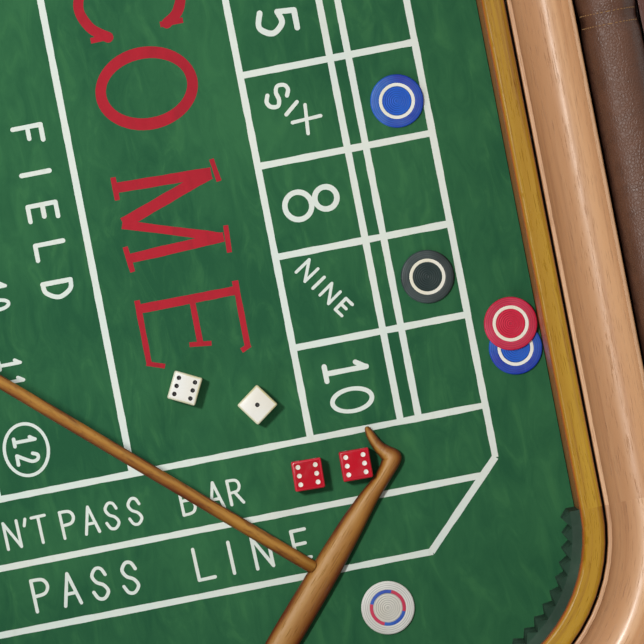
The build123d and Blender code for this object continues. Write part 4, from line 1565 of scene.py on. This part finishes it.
def turned_leg(side, end):
    """One leg: a bun foot and a long vase turned between square blocks."""
    node = f"leg_{side}_{end}"
    middle = node_middle(node) / MM
    bm = bmesh.new()

    def place(a, b, z):
        return Vector((middle.x + a, middle.y + b, z)) * MM

    for profile in (BUN_PROFILE, VASE_PROFILE):
        lathe(bm, profile, place)
    for block in (LOW_BLOCK, HIGH_BLOCK):
        leg_block(bm, middle.x, middle.y, *block)
    piece(f"turned_{node}", bm, ["mahogany_z"], "table", "dark_wood", [node])


def build_legs():
    for end in ("left", "right"):
        for side in ("player", "boxman"):
            turned_leg(side, end)


FRAME_FINISH = {
    "layout_felt": "felt",
    "bed_underlay": "underlay",
    "bed_board": "ply",
    "bed_bearers": "ply",
    "mirror_glass": "mirror",
    "mirror_frame": "mahogany_x",
    "stretcher_ends": "mahogany_y",
    "stretcher_long": "mahogany_x",
    "rail_brackets": "mahogany_z",
    "shelf_brackets": "mahogany_z",
    "money_slot_plate": "brass",
    "money_chute": "powder",
    "money_paddle": "acrylic",
    "drop_box_shell": "powder",
    "drop_box_door": "powder",
    "drop_box_runners": "steel",
    "bank_tray": "tray",
}
FRAME_FAMILIES = {
    "wall_": "lined_wall",
    "chip_rack_": "rack",
    "rail_base_": "mahogany_rail",
    "foot_": "steel",
}


def finish_frame():
    """Gives every node that stays on show its finish."""
    for node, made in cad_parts.items():
        finish = FRAME_FINISH.get(node)
        for start_of_name, family in FRAME_FAMILIES.items():
            if node.startswith(start_of_name):
                finish = family
        if finish:
            for holder in made.material_slots:
                holder.material = FINISH[finish]


# ---- Studio ----
VIEW_ALONG = -82.3
VIEW_ACROSS = -105.4
VIEW_TURN = 11.0
VIEW_WIDTH = 0.470
LENS = 560.0
SENSOR = 36.0


def build_camera():
    """Straight above the dice end of the layout, turned so that the boxman's side is to the right."""
    turn = radians(VIEW_TURN)
    right = Vector((sin(turn), cos(turn), 0))
    up = Vector((-cos(turn), sin(turn), 0))
    spot = layout_point(VIEW_ALONG, VIEW_ACROSS) * MM
    distance = VIEW_WIDTH * LENS / SENSOR
    data = bpy.data.cameras.new("camera")
    data.lens = LENS
    data.sensor_width = SENSOR
    data.clip_end = 60.0
    made = bpy.data.objects.new("camera", data)
    basis = Matrix((right, up, right.cross(up))).transposed().to_4x4()
    made.matrix_world = Matrix.Translation(Vector((spot.x, spot.y, FELT_TOP + distance))) @ basis
    bpy.context.scene.collection.objects.link(made)
    bpy.context.scene.camera = made
    return right, up


LIGHT_DISTANCE = 5.0
FLOOR_HALF = 9.0
FLOOR_GAP = 0.0005


def area_light(name, aim, direction, size, power, colour):
    """A round soft light that shines on aim from a direction."""
    data = bpy.data.lights.new(name, "AREA")
    data.shape = "DISK"
    data.size = size
    data.energy = power
    data.color = colour
    made = bpy.data.objects.new(name, data)
    heading = direction.normalized()
    made.location = aim + heading * LIGHT_DISTANCE
    made.rotation_euler = heading.to_track_quat("Z", "Y").to_euler()
    bpy.context.scene.collection.objects.link(made)


def build_floor():
    bm = bmesh.new()
    bmesh.ops.create_grid(bm, x_segments=8, y_segments=8, size=FLOOR_HALF)
    mesh = bpy.data.meshes.new("floor")
    bm.to_mesh(mesh)
    bm.free()
    mesh.materials.append(pale_floor())
    floor = bpy.data.objects.new("floor", mesh)
    floor.location.z = CAD_BOX[0].z - FLOOR_GAP
    bpy.context.scene.collection.objects.link(floor)


def build_studio(right, up):
    """A small key light nearly overhead, two broad side lights, an even sky and a plain floor."""
    aim = Vector((0.3, 0.0, FELT_TOP))
    key = -right * 0.25 + up * 0.08 + Vector((0, 0, 1.0))
    area_light("key_light", aim, key, 0.42, 152, (1.0, 0.99, 0.97))
    area_light("fill_light", aim, Vector((0.9, -0.9, 0.8)), 2.4, 40, (0.96, 0.98, 1.0))
    area_light("back_light", aim, Vector((-0.8, 1.0, 0.7)), 2.4, 36, (0.97, 0.98, 1.0))
    world = bpy.data.worlds.new("studio")
    world.use_nodes = True
    background = world.node_tree.nodes["Background"]
    background.inputs["Color"].default_value = (1, 1, 1, 1)
    background.inputs["Strength"].default_value = 0.37
    bpy.context.scene.world = world
    build_floor()
    bpy.context.scene.view_settings.view_transform = "Standard"


def main():
    FINISH["stick"] = stick_finish("stick_head_wood", STICK_HEADING, 0.62)
    FINISH["handle"] = stick_finish("stick_handle_wood", STICK_HEADING - 90, 0.86)
    right, up = build_camera()
    build_studio(right, up)
    finish_frame()
    print_layout()
    build_bumpers()
    build_arm_rests()
    build_mouldings()
    build_legs()
    build_chips()
    build_dice()
    stick_head()
    stick_handle()
    bank_rows()
    build_hardware()


main()
bpy.context.view_layer.update()
